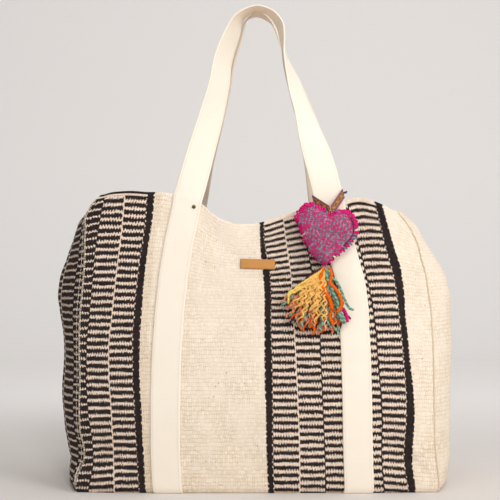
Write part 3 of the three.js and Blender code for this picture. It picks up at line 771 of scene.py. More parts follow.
def plain_cloth(n, band, across, rise, thread, hollow):
    """Cream cloth with pale threads and dark specks. Painted shade darkens the weave's gaps in random clouds,
    the lower cloth and the strip beside the left black band.
    """
    cloud = n.noise(34 * MM)
    shade = (hollow + thread * 0.3) * n.step(cloud, 0.1, 0.75)
    # Painted shade: the cloth grows darker towards the bottom
    low = n.step(rise, 0.55 * HEIGHT, 0.0)
    shade = shade * (low * 0.35 + 0.8) + low * 0.08
    plain = n.mix(shade, CLOTH_CREAM, CLOTH_SHADE)
    pale = n.step(thread, 0.5, 0.1) * n.step(n.noise(6 * MM), 0.4, 0.7)
    plain = n.mix(pale * 0.2, plain, linear(252, 243, 231))
    place = n.place(across, rise)
    seeds = n.add("TexVoronoi", {"Scale": 1 / (26 * MM), "Vector": place}, {"voronoi_dimensions": "2D"})
    seed = n.step(seeds, 0.045, 0.025) * n.step(n.noise(40 * MM, 0), 0.5, 0.6)
    plain = n.mix(seed * 0.6, plain, FLECK)
    from_band = band - WIDE_CREAM
    # Painted shade in the strip between the left black band and the left strap
    beside = n.step(from_band, 0.09, 0.04) * n.step(from_band, 0.0, 0.01)
    plain = n.mix(beside * (hollow * 0.4 + 0.3), plain, CLOTH_SHADE)
    dotted = beside * hollow * n.step(thread, 0.55, 0.9)
    return n.mix(dotted * 0.6, plain, FLECK)


def cloth_material():
    """Cloth woven of coarse threads: bands of bars beside plain cream and black bands."""
    n = Nodes("hand_woven_cloth")
    band, across, rise, ink = (n.value(name) for name in CLOTH_VALUES)
    loose = n.noise(2.2 * MM) - 0.5
    drift = n.noise(9 * MM, 1) - 0.5
    thread, hollow = weave_grain(n, across, rise, loose, drift)
    index = n.math("FLOOR", band)
    striped = striped_bands(n, index)
    bar = woven_bars(n, band, index, across, rise, loose, drift)
    bar = column_lines(n, bar, band, ink, loose)
    bar = folded_rim(n, bar, band, rise)
    plain = plain_cloth(n, band, across, rise, thread, hollow)
    # Light bars: painted shade in the weave's gaps, and random darker threads
    light_bar = n.mix(thread * 0.3 + hollow * 0.4, STRIPE_CREAM, STRIPE_SHADE)
    dark_bar = n.mix(thread * 0.4, INK, INK_WORN)
    colour = n.mix(striped, plain, n.mix(bar, light_bar, dark_bar))
    scallop = n.wave(rise, 1.1 * WEFT) * (0.8 * MM)
    inked = ink + (scallop + loose * (1.6 * MM))
    colour = n.mix(n.step(inked, 0.35 * MM, -0.35 * MM), colour, dark_bar)
    height = bar * striped * 0.5 - hollow + thread * 0.5
    return n.finish(colour, height, depth=0.55 * MM, strength=0.8, Specular_IOR_Level=0.15)


def webbing_material():
    n = Nodes("cotton_webbing")
    lane, along = n.value("lane"), n.value("along")
    ribs = n.wave(lane * (STRAP_WIDTH / 2) + along * 0.6, 1.3 * MM)
    picks = n.wave(along, 1.1 * MM)
    groove = n.step(abs(abs(lane) - STITCH_LANE), 0.035, 0.0)
    patch = n.noise(24 * MM)
    colour = n.mix(patch * 0.25, linear(242, 232, 217), linear(230, 217, 198))
    # Painted shade in the recessed stitch grooves
    colour = n.mix(groove * 0.35, colour, linear(200, 180, 154))
    # Warm tan painted shade and bounce light on the handles' undersides and inner sides above the rim
    colour = n.mix(n.value("painted_inner_shade") * 0.7, colour, linear(255, 232, 208))
    weave = ribs * picks - groove * 3.0
    return n.finish(colour, weave, depth=0.12 * MM, strength=0.35, Specular_IOR_Level=0.2)


def leather_material():
    n = Nodes("tan_leather")
    grain = n.noise(1.2 * MM, 6)
    patch = n.noise(14 * MM, 3)
    colour = n.mix(patch, linear(202, 142, 72), linear(180, 122, 56))
    colour = n.mix(n.step(n.value("edge"), 0.5, 1.0), colour, linear(150, 96, 44))
    return n.finish(colour, grain, depth=0.15 * MM, strength=0.3, Roughness=0.5)


def brass_material():
    n = Nodes("dark_brass")
    patch = n.noise(1.5 * MM, 4)
    colour = n.mix(patch, linear(128, 104, 62), linear(60, 48, 36))
    return n.finish(colour, patch, depth=0.05 * MM, strength=0.3, Metallic=0.9, Roughness=0.38)


def thread_material(name, light, dark, size=0.8 * MM):
    n = Nodes(name)
    strand = n.noise(size, 3)
    return n.finish(n.mix(strand, light, dark), strand, depth=0.2 * MM, strength=0.6, Sheen_Weight=0.2)


def ribbon_material():
    """Maroon ribbon with mauve lines and a row of yellow crosses between ringed dark dots."""
    n = Nodes("patterned_ribbon")
    lane, along = n.value("lane"), n.value("along")
    off = abs(lane)
    beside = off * (RIBBON_WIDTH / 2)
    place = n.math("PINGPONG", along, RIBBON_PITCH / 2)
    in_middle = n.step(off, 0.54, 0.48)
    cross_gap = abs(place - beside)
    cross = n.step(cross_gap, 0.75 * MM, 0.4 * MM) * in_middle
    far = (RIBBON_PITCH / 2 - place) / (1.7 * MM)
    high = beside / (1.4 * MM)
    dot = far * far + high * high
    colour = n.mix(in_middle, linear(112, 40, 58), linear(66, 28, 38))
    colour = n.mix(cross, colour, linear(236, 176, 70))
    colour = n.mix(n.step(dot, 2.6, 2.2), colour, linear(226, 160, 62))
    colour = n.mix(n.step(dot, 1.6, 1.2), colour, linear(34, 20, 30))
    line = n.step(abs(off - 0.64), 0.07, 0.03)
    colour = n.mix(line, colour, linear(160, 124, 140))
    border = n.step(abs(off - 0.9), 0.1, 0.05)
    colour = n.mix(border, colour, linear(148, 44, 60))
    picks = n.wave(along, 0.7 * MM) * n.wave(lane, 0.14)
    return n.finish(colour, picks, depth=0.1 * MM, strength=0.5, Roughness=0.75)


def heart_material():
    """Coarse magenta and grey stitches, with painted shade in the gaps between them and painted highlights on
    a few.
    """
    n = Nodes("knitted_heart_cloth")
    stray = n.noise(4 * MM) - 0.5
    rows = n.value("second") / KNIT_WIDE + stray * 0.5
    slip = n.math("FLOOR", rows) * 0.75 + n.random(rows)
    places = n.value("first") / KNIT_LONG + (slip + stray)
    cell = n.cell(places, rows)
    other = n.cell(places + 57.0, rows)
    stitch = abs(n.wave(places, 2.0)) * abs(n.wave(rows, 2.0))
    magenta = n.mix(other, linear(240, 50, 138), linear(204, 72, 122))
    grey = n.mix(other, linear(172, 162, 180), linear(122, 114, 134))
    turn = n.math("PINGPONG", n.math("FLOOR", places), 1.0) * 0.42
    colour = n.mix(n.step(turn + cell * 0.8, 0.62, 0.68), magenta, grey)
    # Painted highlights: a few random stitches turn pale pink
    colour = n.mix(n.step(other, 0.95, 0.98), colour, linear(222, 150, 186))
    # Painted shade in the gaps between the stitches
    colour = n.mix(n.step(stitch, 0.34, 0.04) * 0.75, colour, linear(74, 26, 52))
    fine = n.noise(0.9 * MM, 3)
    colour = n.mix(n.step(fine, 0.58, 0.75) * 0.24, colour, linear(240, 190, 212))
    height = stitch * 2.0 + fine
    return n.finish(colour, height, depth=0.7 * MM, strength=0.9, Specular_IOR_Level=0.25)


YARNS = {
    "amber": (250, 198, 112),
    "pale": (240, 214, 112),
    "orange": (240, 106, 2),
    "teal": (92, 148, 126),
    "sage": (150, 186, 160),
    "maroon": (84, 42, 52),
    "magenta": (230, 24, 126),
    "peach": (226, 150, 110),
    "ivory": (228, 214, 186),
    "mist": (126, 136, 158),
    "slate": (50, 50, 58),
}
YARN_NAMES = list(YARNS)


def yarn_value(name):
    return (YARN_NAMES.index(name) + 0.5) / len(YARN_NAMES)


def yarn_material():
    n = Nodes("cotton_yarn")
    stops = [(i / len(YARN_NAMES), linear(*YARNS[name])) for i, name in enumerate(YARN_NAMES)]
    colour = n.ramp(n.value("yarn"), stops)
    # Painted shade: random dark patches along the yarn stand in for the shade between strands
    shade = n.noise(1.6 * MM, 4)
    colour = n.mix(n.step(shade, 0.35, 0.75) * 0.35, colour, linear(60, 34, 30))
    fuzz = n.noise(0.6 * MM, 4)
    return n.finish(colour, fuzz, depth=0.3 * MM, strength=0.6, Specular_IOR_Level=0.2)


CLOTH_LOOK = cloth_material()
WEBBING_LOOK = webbing_material()
THREAD = thread_material("cream_thread", linear(250, 244, 230), linear(222, 208, 184))


# Walls

LIP_STEPS = 6
SEAM_PULL = 0.85 * GAP


def pulled(points, distance):
    """A grid whose first and last columns are drawn in a little."""
    points = points.copy()
    points[:, 0] += unit(points[:, 1] - points[:, 0]) * distance
    points[:, -1] += unit(points[:, -2] - points[:, -1]) * distance
    return points


def wall(name, first, last):
    """One cloth wall, with a rounded rim."""
    columns = np.arange(first, last + 1) % AROUND
    outer = RING["outer"][:, columns]
    out = RING["out"][:, columns]
    count = len(outer)
    turns = np.linspace(0, np.pi, LIP_STEPS + 1)[1:-1]
    level = np.concatenate([np.arange(count), np.full(len(turns), count - 1), np.arange(count)[::-1]])
    depth = np.concatenate([np.zeros(count), (1 - np.cos(turns)) / 2, np.ones(count)])
    lift = np.concatenate([np.zeros(count), np.sin(turns) / 2, np.zeros(count)]) * CLOTH
    loop = outer[level] - out[level] * depth[:, None, None] * CLOTH
    loop[..., 2] += lift[:, None]
    loop = pulled(loop, SEAM_PULL)
    rows, width = loop.shape[:2]
    faces = grid_faces(rows, width)
    faces += [[(rows - 1) * width + j, (rows - 1) * width + j + 1, j + 1, j] for j in range(width - 1)]
    for i in range(rows // 2):
        corners = list(dict.fromkeys([i, i + 1, rows - 2 - i, rows - 1 - i]))
        faces.append([k * width for k in corners[::-1]])
        faces.append([k * width + width - 1 for k in corners])
    shape = Shape(*CLOTH_VALUES)
    shape.add(loop, faces, **{key: RING[key][level][:, columns] for key in CLOTH_VALUES})
    shape.make(name, CLOTH_LOOK, "cloth", name)


wall("front_panel", 0, FRONT_LAST)
wall("right_gusset", FRONT_LAST, BACK_FIRST)
wall("back_panel", BACK_FIRST, BACK_LAST)
wall("left_gusset", BACK_LAST, AROUND)


def base_panel():
    low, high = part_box("base_panel")
    outline = (RING["outer"][0] - RING["out"][0] * (CLOTH + GAP))[::3]
    shares = np.linspace(0.04, 1, 14)
    rings = outline[None] * shares[:, None, None]
    loop = np.concatenate([rings + [0, 0, low[2]], rings[::-1] * [1, 1, 0] + [0, 0, high[2]]])
    shape = Shape(*CLOTH_VALUES)
    values = dict(band=PLAIN_BAND, across=loop[..., 0], rise=loop[..., 1] + HALF_DEPTH, ink=1.0)
    shape.add(loop, tube_faces(*loop.shape[:2]), **values)
    shape.make("base_panel", CLOTH_LOOK, "cloth", "base_panel")


base_panel()


# Seams

def seam_welt():
    """Braided welt of two threads over each right corner seam, whose darker tan also paints the shadow line
    along the seam.
    """
    shape = Shape()
    levels = np.arange(2, LEVEL_COUNT - 1)
    for column in (FRONT_LAST, BACK_FIRST):
        path = (RING["outer"] + RING["out"] * 0.2 * MM)[levels, column]
        steps = distances(path)
        along = unit(np.gradient(path, axis=0))
        out = unit(RING["out"][levels, column])
        side = unit(np.cross(along, out))
        for start in (0, 0.5):
            turn = (2 * np.pi * (steps / (5.2 * MM) + start))[:, None]
            braid = path + side * np.sin(turn) * MM + out * np.cos(2 * turn) * 0.35 * MM
            add_tube(shape, braid, 0.85 * MM, 5)
    tan = thread_material("welt_thread_and_painted_shade", linear(240, 224, 200), linear(202, 176, 142), 1.6 * MM)
    shape.make("right_seam_welt", tan, "cloth")


def front_line(share, heights):
    return front_points(share + 0 * heights, heights)


def left_end_line(share, heights):
    return gusset_points("left", share + 0 * heights, heights)


def seam_stitches():
    """A line of stitches on each side of the left corner seams."""
    shape = Shape()
    # Share across of each line and of a place beside it, and its stitches' pitch and length in mm
    lines = [(front_line, 0.016, 0.006, 3.4, 3.2), (left_end_line, -0.955, -0.93, 4.2, 3.4)]
    for line, share, beside, pitch, length in lines:
        heights = np.arange(12 * MM, HEIGHT - 4 * MM, pitch * MM)
        centre = line(share, heights)
        along = unit(line(share, heights + 0.5 * MM) - centre)
        face = unit(np.cross(along, line(beside, heights) - centre))
        face = face * np.sign((face * np.array([-0.3, -1, 0])).sum(-1, keepdims=True))
        lifted = centre + face * 0.25 * MM
        for mirror in (1, -1):
            flip = np.array([1, mirror, 1])
            add_stitches(shape, lifted * flip, along * flip, face * flip, length * MM, 0.36 * MM)
    shape.make("left_seam_stitches", THREAD, "cloth")


seam_welt()
seam_stitches()


# Handles

SEWN_LEVELS = np.unique(np.concatenate([np.arange(6), np.arange(6, LEVEL_COUNT, 2), [LEVEL_COUNT - 1]]))


def sewn_rows(leg):
    """Middle of the webbing down one sewn leg, and which way it faces."""
    spans = RING["spans"]
    at = np.ix_(SEWN_LEVELS, np.flatnonzero((spans >= leg) & (spans <= leg + 1)))
    outer, out = RING["outer"][at], RING["out"][at]
    return outer + out * (SEWN_GAP + WEBBING / 2), unit(out)


LEFT_ROWS, LEFT_FACES = sewn_rows(LEFT_LEG)
RIGHT_ROWS, RIGHT_FACES = sewn_rows(RIGHT_LEG)
LEG_TOPS = [rows[-1].mean(axis=0) for rows in (LEFT_ROWS, RIGHT_ROWS)]
ARCH_DEPTH = -(STRAP_WIDTH / 2 + 0.8 * MM)
LEG_DEPTH = LEG_TOPS[0][1]
HANDLE_TURNS = np.concatenate([[0], HANDLE["turn"], [0]])
HANDLE_STEP = 3.5 * MM


def handle_route(spread, pinch, lean):
    across, rise, out = HANDLE["across"], HANDLE["rise"], HANDLE["out"]
    halfway = 4 * rise * (1 - rise)
    wider = 1 + spread * halfway - pinch * rise**2
    aside = lean * HALF_WIDTH * halfway
    depth = ARCH_DEPTH + (LEG_DEPTH - ARCH_DEPTH) * out
    points = xyz(across * wider + aside, depth, HEIGHT + rise * HANDLE_RISE)
    return Route(np.concatenate([[LEG_TOPS[0]], points, [LEG_TOPS[1]]]))


def handle_frame(route, t):
    t = np.asarray(t, dtype=float)
    turn = np.radians(np.interp(t * route.spans, np.arange(len(HANDLE_TURNS)), HANDLE_TURNS))
    along = route.along(t)
    edge = xyz(-np.cos(turn), -np.sin(turn), 0.0)
    edge = unit(edge - along * (edge * along).sum(-1, keepdims=True))
    return route.at(t), along, edge, np.cross(along, edge)


def even_steps(route, step):
    """Shares of the route that are one step apart along it."""
    fine = np.linspace(0, 1, 2000)
    length = distances(route.at(fine))
    count = int(round(length[-1] / step))
    return np.interp(np.linspace(0, length[-1], count + 1), length, fine)


def strap_rows(kind):
    """Middle and face direction of the webbing, from the foot of one leg to the foot of the other."""
    route = handle_route(*HANDLES[kind])
    shares = even_steps(route, HANDLE_STEP)[1:-1]
    middle, _, edge, face = handle_frame(route, shares)
    lanes = np.linspace(0.5, -0.5, LEFT_ROWS.shape[1])
    free = middle[:, None] + edge[:, None] * (lanes * STRAP_WIDTH)[None, :, None]
    faces = np.repeat(face[:, None], len(lanes), axis=1)
    rows = np.concatenate([LEFT_ROWS, free, RIGHT_ROWS[::-1]])
    faces = np.concatenate([LEFT_FACES, faces, -RIGHT_FACES[::-1]])
    if kind == "back":
        flip = np.array([1, -1, 1])
        return rows * flip, faces * flip
    return rows, faces


def painted_inner_shade_share(loop):
    """How far each point of a handle is on its inner side or its underside, above the rim, which sets where
    the webbing gets its warm painted shade.
    """
    across = np.roll(loop, -1, axis=1) - np.roll(loop, 1, axis=1)
    facing = unit(np.cross(across, np.gradient(loop, axis=0)))
    inwards = -np.sign(loop[..., 1]) * facing[..., 1]
    painted_inner_shade = np.maximum(smooth(0.3, 0.8, -facing[..., 2]), smooth(0.3, 0.8, inwards))
    return painted_inner_shade * smooth(HEIGHT - 20 * MM, HEIGHT + 20 * MM, loop[..., 2])


def strap(kind):
    """One band of webbing with rounded edges, from foot to foot."""
    rows, faces = strap_rows(kind)
    half = WEBBING / 2
    rows = pulled(rows, 0.7 * half)
    parts = []
    for sign, column, beside in ((1, -1, -2), (-1, 0, 1)):
        parts.append((rows + faces * half * sign)[:, ::sign])
        away = unit(rows[:, column] - rows[:, beside]) * half
        for turn in (0.3 * math.pi, 0.5 * math.pi, 0.7 * math.pi):
            edge = rows[:, column] + faces[:, column] * half * sign * math.cos(turn) + away * math.sin(turn)
            parts.append(edge[:, None])
    loop = np.concatenate(parts, axis=1)
    if kind == "back":
        loop = loop[:, ::-1]
    lanes = np.linspace(1, -1, rows.shape[1])
    lane = np.concatenate([lanes, [-1, -1, -1], lanes[::-1], [1, 1, 1]])
    lane = lane[::-1] if kind == "back" else lane
    along = distances(rows[:, rows.shape[1] // 2])
    count, width = loop.shape[:2]
    shape = Shape("lane", "along", "painted_inner_shade")
    values = dict(lane=np.tile(lane, count), along=np.repeat(along, width), painted_inner_shade=painted_inner_shade_share(loop))
    shape.add(loop, tube_faces(count, width), **values)
    shape.make(kind + "_strap", WEBBING_LOOK, "webbing", kind + "_strap")
    return rows, faces, along


def at_distances(line, along, places):
    """Points of a line at distances along it."""
    return xyz(*(np.interp(places, along, column) for column in line.T))


def strap_stitches(kind, rows, faces, along):
    """Stitches along both edges, on both faces where the strap is free and on one where it is sewn."""
    shape = Shape()
    places = np.arange(4 * MM, along[-1] - 4 * MM, 3.4 * MM)
    columns = rows.shape[1]
    first_free = along[len(SEWN_LEVELS) - 1]
    last_free = along[-len(SEWN_LEVELS)]
    for lane in (-STITCH_LANE, STITCH_LANE):
        at = (1 - lane) / 2 * (columns - 1)
        low = int(at)
        line = rows[:, low] * (1 - at + low) + rows[:, low + 1] * (at - low)
        face = unit(faces[:, low])
        for outwards in (1, -1):
            here = places[places < last_free] if outwards == 1 else places[places > first_free]
            centre = at_distances(line, along, here)
            later = at_distances(line, along, here + 0.5 * MM)
            facing = unit(at_distances(face, along, here)) * outwards
            lifted = centre + facing * (WEBBING / 2 + 0.05 * MM)
            add_stitches(shape, lifted, later - centre, facing, 2.5 * MM, 0.32 * MM)
    shape.make(kind + "_strap_stitches", THREAD, "webbing")


def brass_rivets():
    """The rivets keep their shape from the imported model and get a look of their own."""
    brass = brass_material()
    for node in ("rivet_front_left", "rivet_front_right", "rivet_back_left", "rivet_back_right"):
        bpy.data.objects[node].data.materials.clear()
        bpy.data.objects[node].data.materials.append(brass)


for kind in HANDLES:
    strap_stitches(kind, *strap(kind))
brass_rivets()


# Label

LABEL_WIDTH = 45.5 * MM
LABEL_HEIGHT = 13 * MM
LABEL_THICK = 1.6 * MM
LABEL_CORNER = 1.4 * MM
LABEL_TURN = math.radians(-1.8)
LABEL_ACROSS = 0.009 * HALF_WIDTH
LABEL_UP = 0.76 * HEIGHT


def front_depth(x, z):
    """Depth of the cloth at places across and up the front, found in steps from the middle."""
    span = np.full(x.shape, (len(LINES) - 1) / 2)
    level = z
    for _ in range(12):
        point = front_points(span, level)
        width = front_across(np.floor(span) + 1.0, z) - front_across(np.floor(span), z)
        span = np.clip(span + (x - point[..., 0]) / width, 0, len(LINES) - 1.001)
        level = np.clip(level + z - point[..., 2], 0, HEIGHT)
    return front_points(span, level)[..., 1]


def on_label(across, up):
    """Place in the bag's frame of a place on the label, and the depth of the cloth there."""
    x, z = turned(across, up, -LABEL_TURN)
    x, z = x + LABEL_ACROSS, z + LABEL_UP
    return x, front_depth(x, z) - SEWN_GAP, z


def rounded(share, size):
    """Places from the middle of one side of the label, and how far each is into the corner."""
    flat = size / 2 - LABEL_CORNER
    place = np.abs(share) * size / 2
    return np.minimum(place, flat), np.clip(place - flat, 0, None) / LABEL_CORNER


def label():
    columns, rows = 60, 18
    u, v = np.meshgrid(np.linspace(-1, 1, columns), np.linspace(-1, 1, rows))
    flat_u, edge_u = rounded(u, LABEL_WIDTH)
    flat_v, edge_v = rounded(v, LABEL_HEIGHT)
    round_edge = np.hypot(edge_u, edge_v)
    corner = LABEL_CORNER / np.maximum(round_edge, 1)
    x, y, z = on_label(np.sign(u) * (flat_u + edge_u * corner), np.sign(v) * (flat_v + edge_v * corner))
    rim = np.clip(round_edge, 0, 1)
    dome = LABEL_THICK * (1 - 0.45 * rim**3)
    shape = Shape("edge")
    faces = grid_faces(rows, columns)
    shape.add(xyz(x, y - dome, z), faces, edge=rim)
    shape.add(xyz(x, y, z), [face[::-1] for face in faces], edge=rim)
    ids = np.arange(rows * columns).reshape(rows, columns)
    border = [*ids[0], *ids[1:, -1], *ids[-1, -2::-1], *ids[-2:0:-1, 0]]
    for a, b in zip(border, border[1:] + border[:1]):
        shape.faces.append([b, a, a + ids.size, b + ids.size])
    shape.make("leather_label", leather_material(), "leather", "leather_label")


def label_stitches():
    inset = 1.7 * MM
    half_u, half_v = LABEL_WIDTH / 2 - inset, LABEL_HEIGHT / 2 - inset
    pitch = 2.1 * MM
    places = []
    for side in (-1, 1):
        for u in np.arange(-half_u + pitch / 2, half_u, pitch):
            places.append((u, side * half_v, 1, 0))
        for v in np.arange(-half_v + pitch / 2, half_v, pitch):
            places.append((side * half_u, v, 0, 1))
    u, v, du, dv = np.array(places).T
    x, y, z = on_label(u, v)
    shape = Shape()
    add_stitches(shape, xyz(x, y - LABEL_THICK, z), xyz(du, 0.0, dv), [0, -1, 0], 1.5 * MM, 0.2 * MM)
    thread = thread_material("tan_thread", linear(196, 138, 70), linear(160, 104, 50))
    shape.make("label_stitches", thread, "leather")


label()
label_stitches()


# Heart

HEART_WIDTH = 79 * MM
HEART_THICK = 23 * MM
HEART_LEAN = math.radians(4)
HEART_OUTLINE = table(
    dict(across=HEART_WIDTH, up=HEART_WIDTH),
    [
        [-49.1, 27.8],
        [-43.7, 10.1],
        [-35.4, -11.4],
        [-24.1, -34.2],
        [-3.3, -49.4],
        [17.7, -34.2],
        [35.4, -18.4],
        [47.5, -2.5],
        [49.7, 11.4],
        [44.3, 28.5],
        [32.9, 36.1],
        [18.7, 37.7],
        [9, 30.8],
        [-7.3, 40.5],
        [-18.7, 47.3],
        [-29.7, 48.9],
        [-39.9, 42.5],
    ],
)
KNIT_TURN = math.radians(-56)
HEART_POINTS = xyz(HEART_OUTLINE["across"], 0.0, HEART_OUTLINE["up"])
HEART_TIP = HEART_POINTS[4]
HEART_NOTCH = HEART_POINTS[12]


def leaned(points):
    """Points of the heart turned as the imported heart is, before it is put in its place."""
    return xyz(points[..., 0], *turned(points[..., 1], points[..., 2], HEART_LEAN))


def heart_edge(count):
    return Route(HEART_POINTS, closed=True).at(np.arange(count) / count)


def heart_shift():
    """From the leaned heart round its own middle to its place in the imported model."""
    edge = leaned(heart_edge(272))
    own_middle = (edge.min(axis=0) + edge.max(axis=0)) / 2
    own_middle[1] = 0
    return np.mean(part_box("charm_heart"), axis=0) - own_middle


HEART_SHIFT = heart_shift()


def heart_surface(edge, share, side):
    """Points of the heart's face: share runs from 0 in the middle to 1 at the edge."""
    share = np.asarray(share, dtype=float)
    flat = edge * share[..., None]
    bulge = HEART_THICK / 2 * (1 - share**2.4) ** 0.62
    first, second = turned(flat[..., 0], flat[..., 2], KNIT_TURN)
    rows = second / KNIT_WIDE
    places = first / KNIT_LONG + 0.5 * np.floor(rows)
    stitch = np.abs(np.sin(np.pi * places) * np.sin(np.pi * rows))
    lift = 0.9 * MM * stitch * smooth(1, 0.9, share)
    return xyz(flat[..., 0], side * (bulge + lift), flat[..., 2]), first, second


def placed_heart(points):
    return leaned(points) + HEART_SHIFT


def heart():
    count, rings = 320, 62
    edge = heart_edge(count)
    shares = np.sin(np.pi / 2 * np.linspace(1, 0.02, rings))
    share = np.repeat(shares[:, None], count, axis=1)
    near, far = (heart_surface(edge[None], share, side) for side in (-1, 1))
    loop, first, second = (np.concatenate([a[::-1], b[1:]]) for a, b in zip(near, far))
    shape = Shape("first", "second")
    shape.add(placed_heart(loop), tube_faces(*loop.shape[:2]), first=first, second=second)
    made = shape.make("charm_heart", heart_material(), "heart", "charm_heart")


def whip_yarn(draw, middle):
    """Colour of one whip stitch: mostly magenta, with more grey at the lower right."""
    grey = 0.5 if middle[0] > 4 * MM and middle[2] < 4 * MM else 0.16
    roll = draw.random()
    if roll < grey:
        return yarn_value("mist")
    return yarn_value("ivory" if roll > 0.93 else "magenta")


def heart_trim():
    """Thick whip stitches all round the heart's edge, and a dark tube in the gap beside them on the right as
    painted shadow.
    """
    count = 74
    around = heart_edge(count * 4)
    along = unit(np.roll(around, -1, axis=0) - np.roll(around, 1, axis=0))
    shape = Shape("yarn")
    draw = np.random.default_rng(4)
    turns = np.linspace(-1.5, 1.5, 11)[:, None]
    for k in range(count):
        middle, direction = around[4 * k], along[4 * k]
        outwards = unit(np.cross(np.array([0.0, 1.0, 0.0]), direction))
        outwards = outwards if outwards @ middle > 0 else -outwards
        reach = draw.uniform(4.6, 6.4) * MM
        deep = draw.uniform(4.6, 5.6) * MM
        slant = draw.uniform(0.6, 2.0) * MM
        inwards = draw.uniform(3.2, 4.6) * MM
        path = middle + outwards * (np.cos(turns) * reach - inwards) + direction * turns * slant
        path = path + np.array([0, 1, 0]) * np.sin(turns) * deep
        thin = 0.45 * smooth(4 * MM, -8 * MM, middle[2]) * smooth(8 * MM, -4 * MM, middle[0])
        radius = (1.15 + 0.25 * np.sin(4 * turns[:, 0] + 6 * draw.random())) * MM * (1 - thin)
        add_tube(shape, placed_heart(path), radius, 6, yarn=whip_yarn(draw, middle))
    # Painted shadow: a dark maroon tube in the gap between the cloth and the whip stitches on the right
    right = around[(around[:, 0] > 0.3 * HEART_WIDTH) & (around[:, 2] < 0.3 * HEART_WIDTH)]
    right = right[np.argsort(right[:, 2])]
    gap = right * 0.87
    gap[:, 1] = -HEART_THICK * 0.24
    add_tube(shape, placed_heart(gap), 1.0 * MM, 6, yarn=yarn_value("maroon"))
    shape.make("heart_whip_stitches", YARN_LOOK, "heart")


YARN_LOOK = yarn_material()
heart()
heart_trim()


# Ribbon

RIBBON_THICK = 1 * MM
RIBBON_ABOVE_RIM = 5 * MM
RIBBON_CLEAR = 0.8 * MM
FRONT_ROUTE = handle_route(*HANDLES["front"])


def leg_frame():
    """Frame of the right leg just above the rim: across to the right, up along it, and depth."""
    height = LEG_TOPS[1][2] + RIBBON_ABOVE_RIM + RIBBON_WIDTH / 2
    shares = np.linspace(1, 0.8, 2001)
    t = shares[np.argmax(FRONT_ROUTE.at(shares)[:, 2] >= height)]
    return handle_frame(FRONT_ROUTE, np.array(t))


LEG_FRAME = leg_frame()


def on_leg(across, above, depth):
    middle, along, edge, face = LEG_FRAME
    return middle - edge * across - along * above + face * depth


def ribbon_path(upwards):
    """From the heart up round the strap's leg and back down to the heart."""
    edge = STRAP_WIDTH / 2 + RIBBON_CLEAR + RIBBON_THICK / 2
    back = WEBBING / 2 + RIBBON_CLEAR + RIBBON_THICK / 2
    foot = placed_heart(HEART_NOTCH) + upwards * (RIBBON_WIDTH / 2 + RIBBON_CLEAR)
    aside = np.array([RIBBON_THICK, 0, 0])
    round_leg = ((-edge, -back), (-edge, back), (edge, back), (edge, -back))
    corners = [foot - aside, *(on_leg(across, 0, depth) for across, depth in round_leg), foot + aside]
    path = []
    for a, b in zip(corners, corners[1:]):
        steps = max(int(np.linalg.norm(b - a) / (0.8 * MM)), 3)
        shares = np.linspace(0, 1, steps, endpoint=False)[:, None]
        path.append(a + (b - a) * shares)
    path = np.concatenate(path + [[corners[-1]]])
    for _ in range(3):
        path[1:-1] = (path[:-2] + 2 * path[1:-1] + path[2:]) / 4
    start = len(path) // 4
    path[:start, 1] += np.linspace(-1.2 * MM, 0, start)
    return path


def ribbon():
    upwards = on_leg(0, 1, 0) - on_leg(0, 0, 0)
    path = ribbon_path(upwards)
    face = unit(np.cross(unit(np.gradient(path, axis=0)), upwards)) * RIBBON_THICK / 2
    lanes = np.linspace(-1, 1, 15)
    middle = path[:, None] + upwards * (lanes * RIBBON_WIDTH / 2)[None, :, None]
    loop = np.concatenate([middle + face[:, None], (middle - face[:, None])[:, ::-1]], axis=1)
    count, width = loop.shape[:2]
    lane = np.tile(np.concatenate([lanes, lanes[::-1]]), count)
    shape = Shape("lane", "along")
    shape.add(loop, tube_faces(count, width), lane=lane, along=np.repeat(distances(path), width))
    shape.make("charm_ribbon", ribbon_material(), "ribbon", "charm_ribbon")


def ribbon_tuft():
    """Short ends of yarn where the ribbon comes round the strap."""
    draw = np.random.default_rng(7)
    start = on_leg(STRAP_WIDTH / 2 + 1.2 * MM, 1 * MM, -1 * MM)
    shape = Shape("yarn")
    for k in range(14):
        lean = draw.uniform(-0.3, 0.9)
        reach = draw.uniform(2.5, 5.5) * MM
        end = start + np.array([math.cos(lean), -0.25, math.sin(lean)]) * reach
        bend = draw.normal(0, 0.6, 3) * MM
        shares = np.linspace(0, 1, 7)[:, None]
        path = start + (end - start) * shares + bend * np.sin(np.pi * shares)
        add_tube(shape, path, 0.6 * MM, 5, yarn=yarn_value("mist" if k % 4 == 0 else "slate"))
    shape.make("ribbon_tuft", YARN_LOOK, "yarn")


ribbon()
ribbon_tuft()


# Tassel

TASSEL_LENGTH = 82 * MM
TASSEL_FORWARD = 11 * MM
HEAD_HEIGHT = 7.15 * MM
TASSEL_TOP = placed_heart(HEART_TIP) - np.array([0, 0, HEAD_HEIGHT + SEWN_GAP - 2 * MM])

# Strands of the tassel by group: how many, lean in degrees from and to, length and forward in
# percent, thickness and crinkle in mm.
STRANDS = [
    dict(yarn="maroon", count=20, lean=(-50, 22), length=(88, 104), forward=(0, 40), thick=1.7, crinkle=1.6),
    dict(yarn="orange", count=14, lean=(-50, 20), length=(92, 107), forward=(10, 60), thick=2.0, crinkle=1.4),
    dict(yarn="teal", count=13, lean=(-55, 24), length=(90, 106), forward=(10, 60), thick=1.9, crinkle=1.4),
    dict(yarn="peach", count=13, lean=(-54, 16), length=(92, 107), forward=(15, 65), thick=1.5, crinkle=1.8),
    dict(yarn="ivory", count=5, lean=(-30, 12), length=(80, 98), forward=(30, 80), thick=0.9, crinkle=1.6),
    dict(yarn="amber", count=20, lean=(-56, -4), length=(60, 92), forward=(55, 100), thick=1.2, crinkle=2.0),
    dict(yarn="amber", count=7, lean=(-36, 4), length=(66, 94), forward=(85, 110), thick=1.3, crinkle=2.3),
]
TWIST = 7 * MM

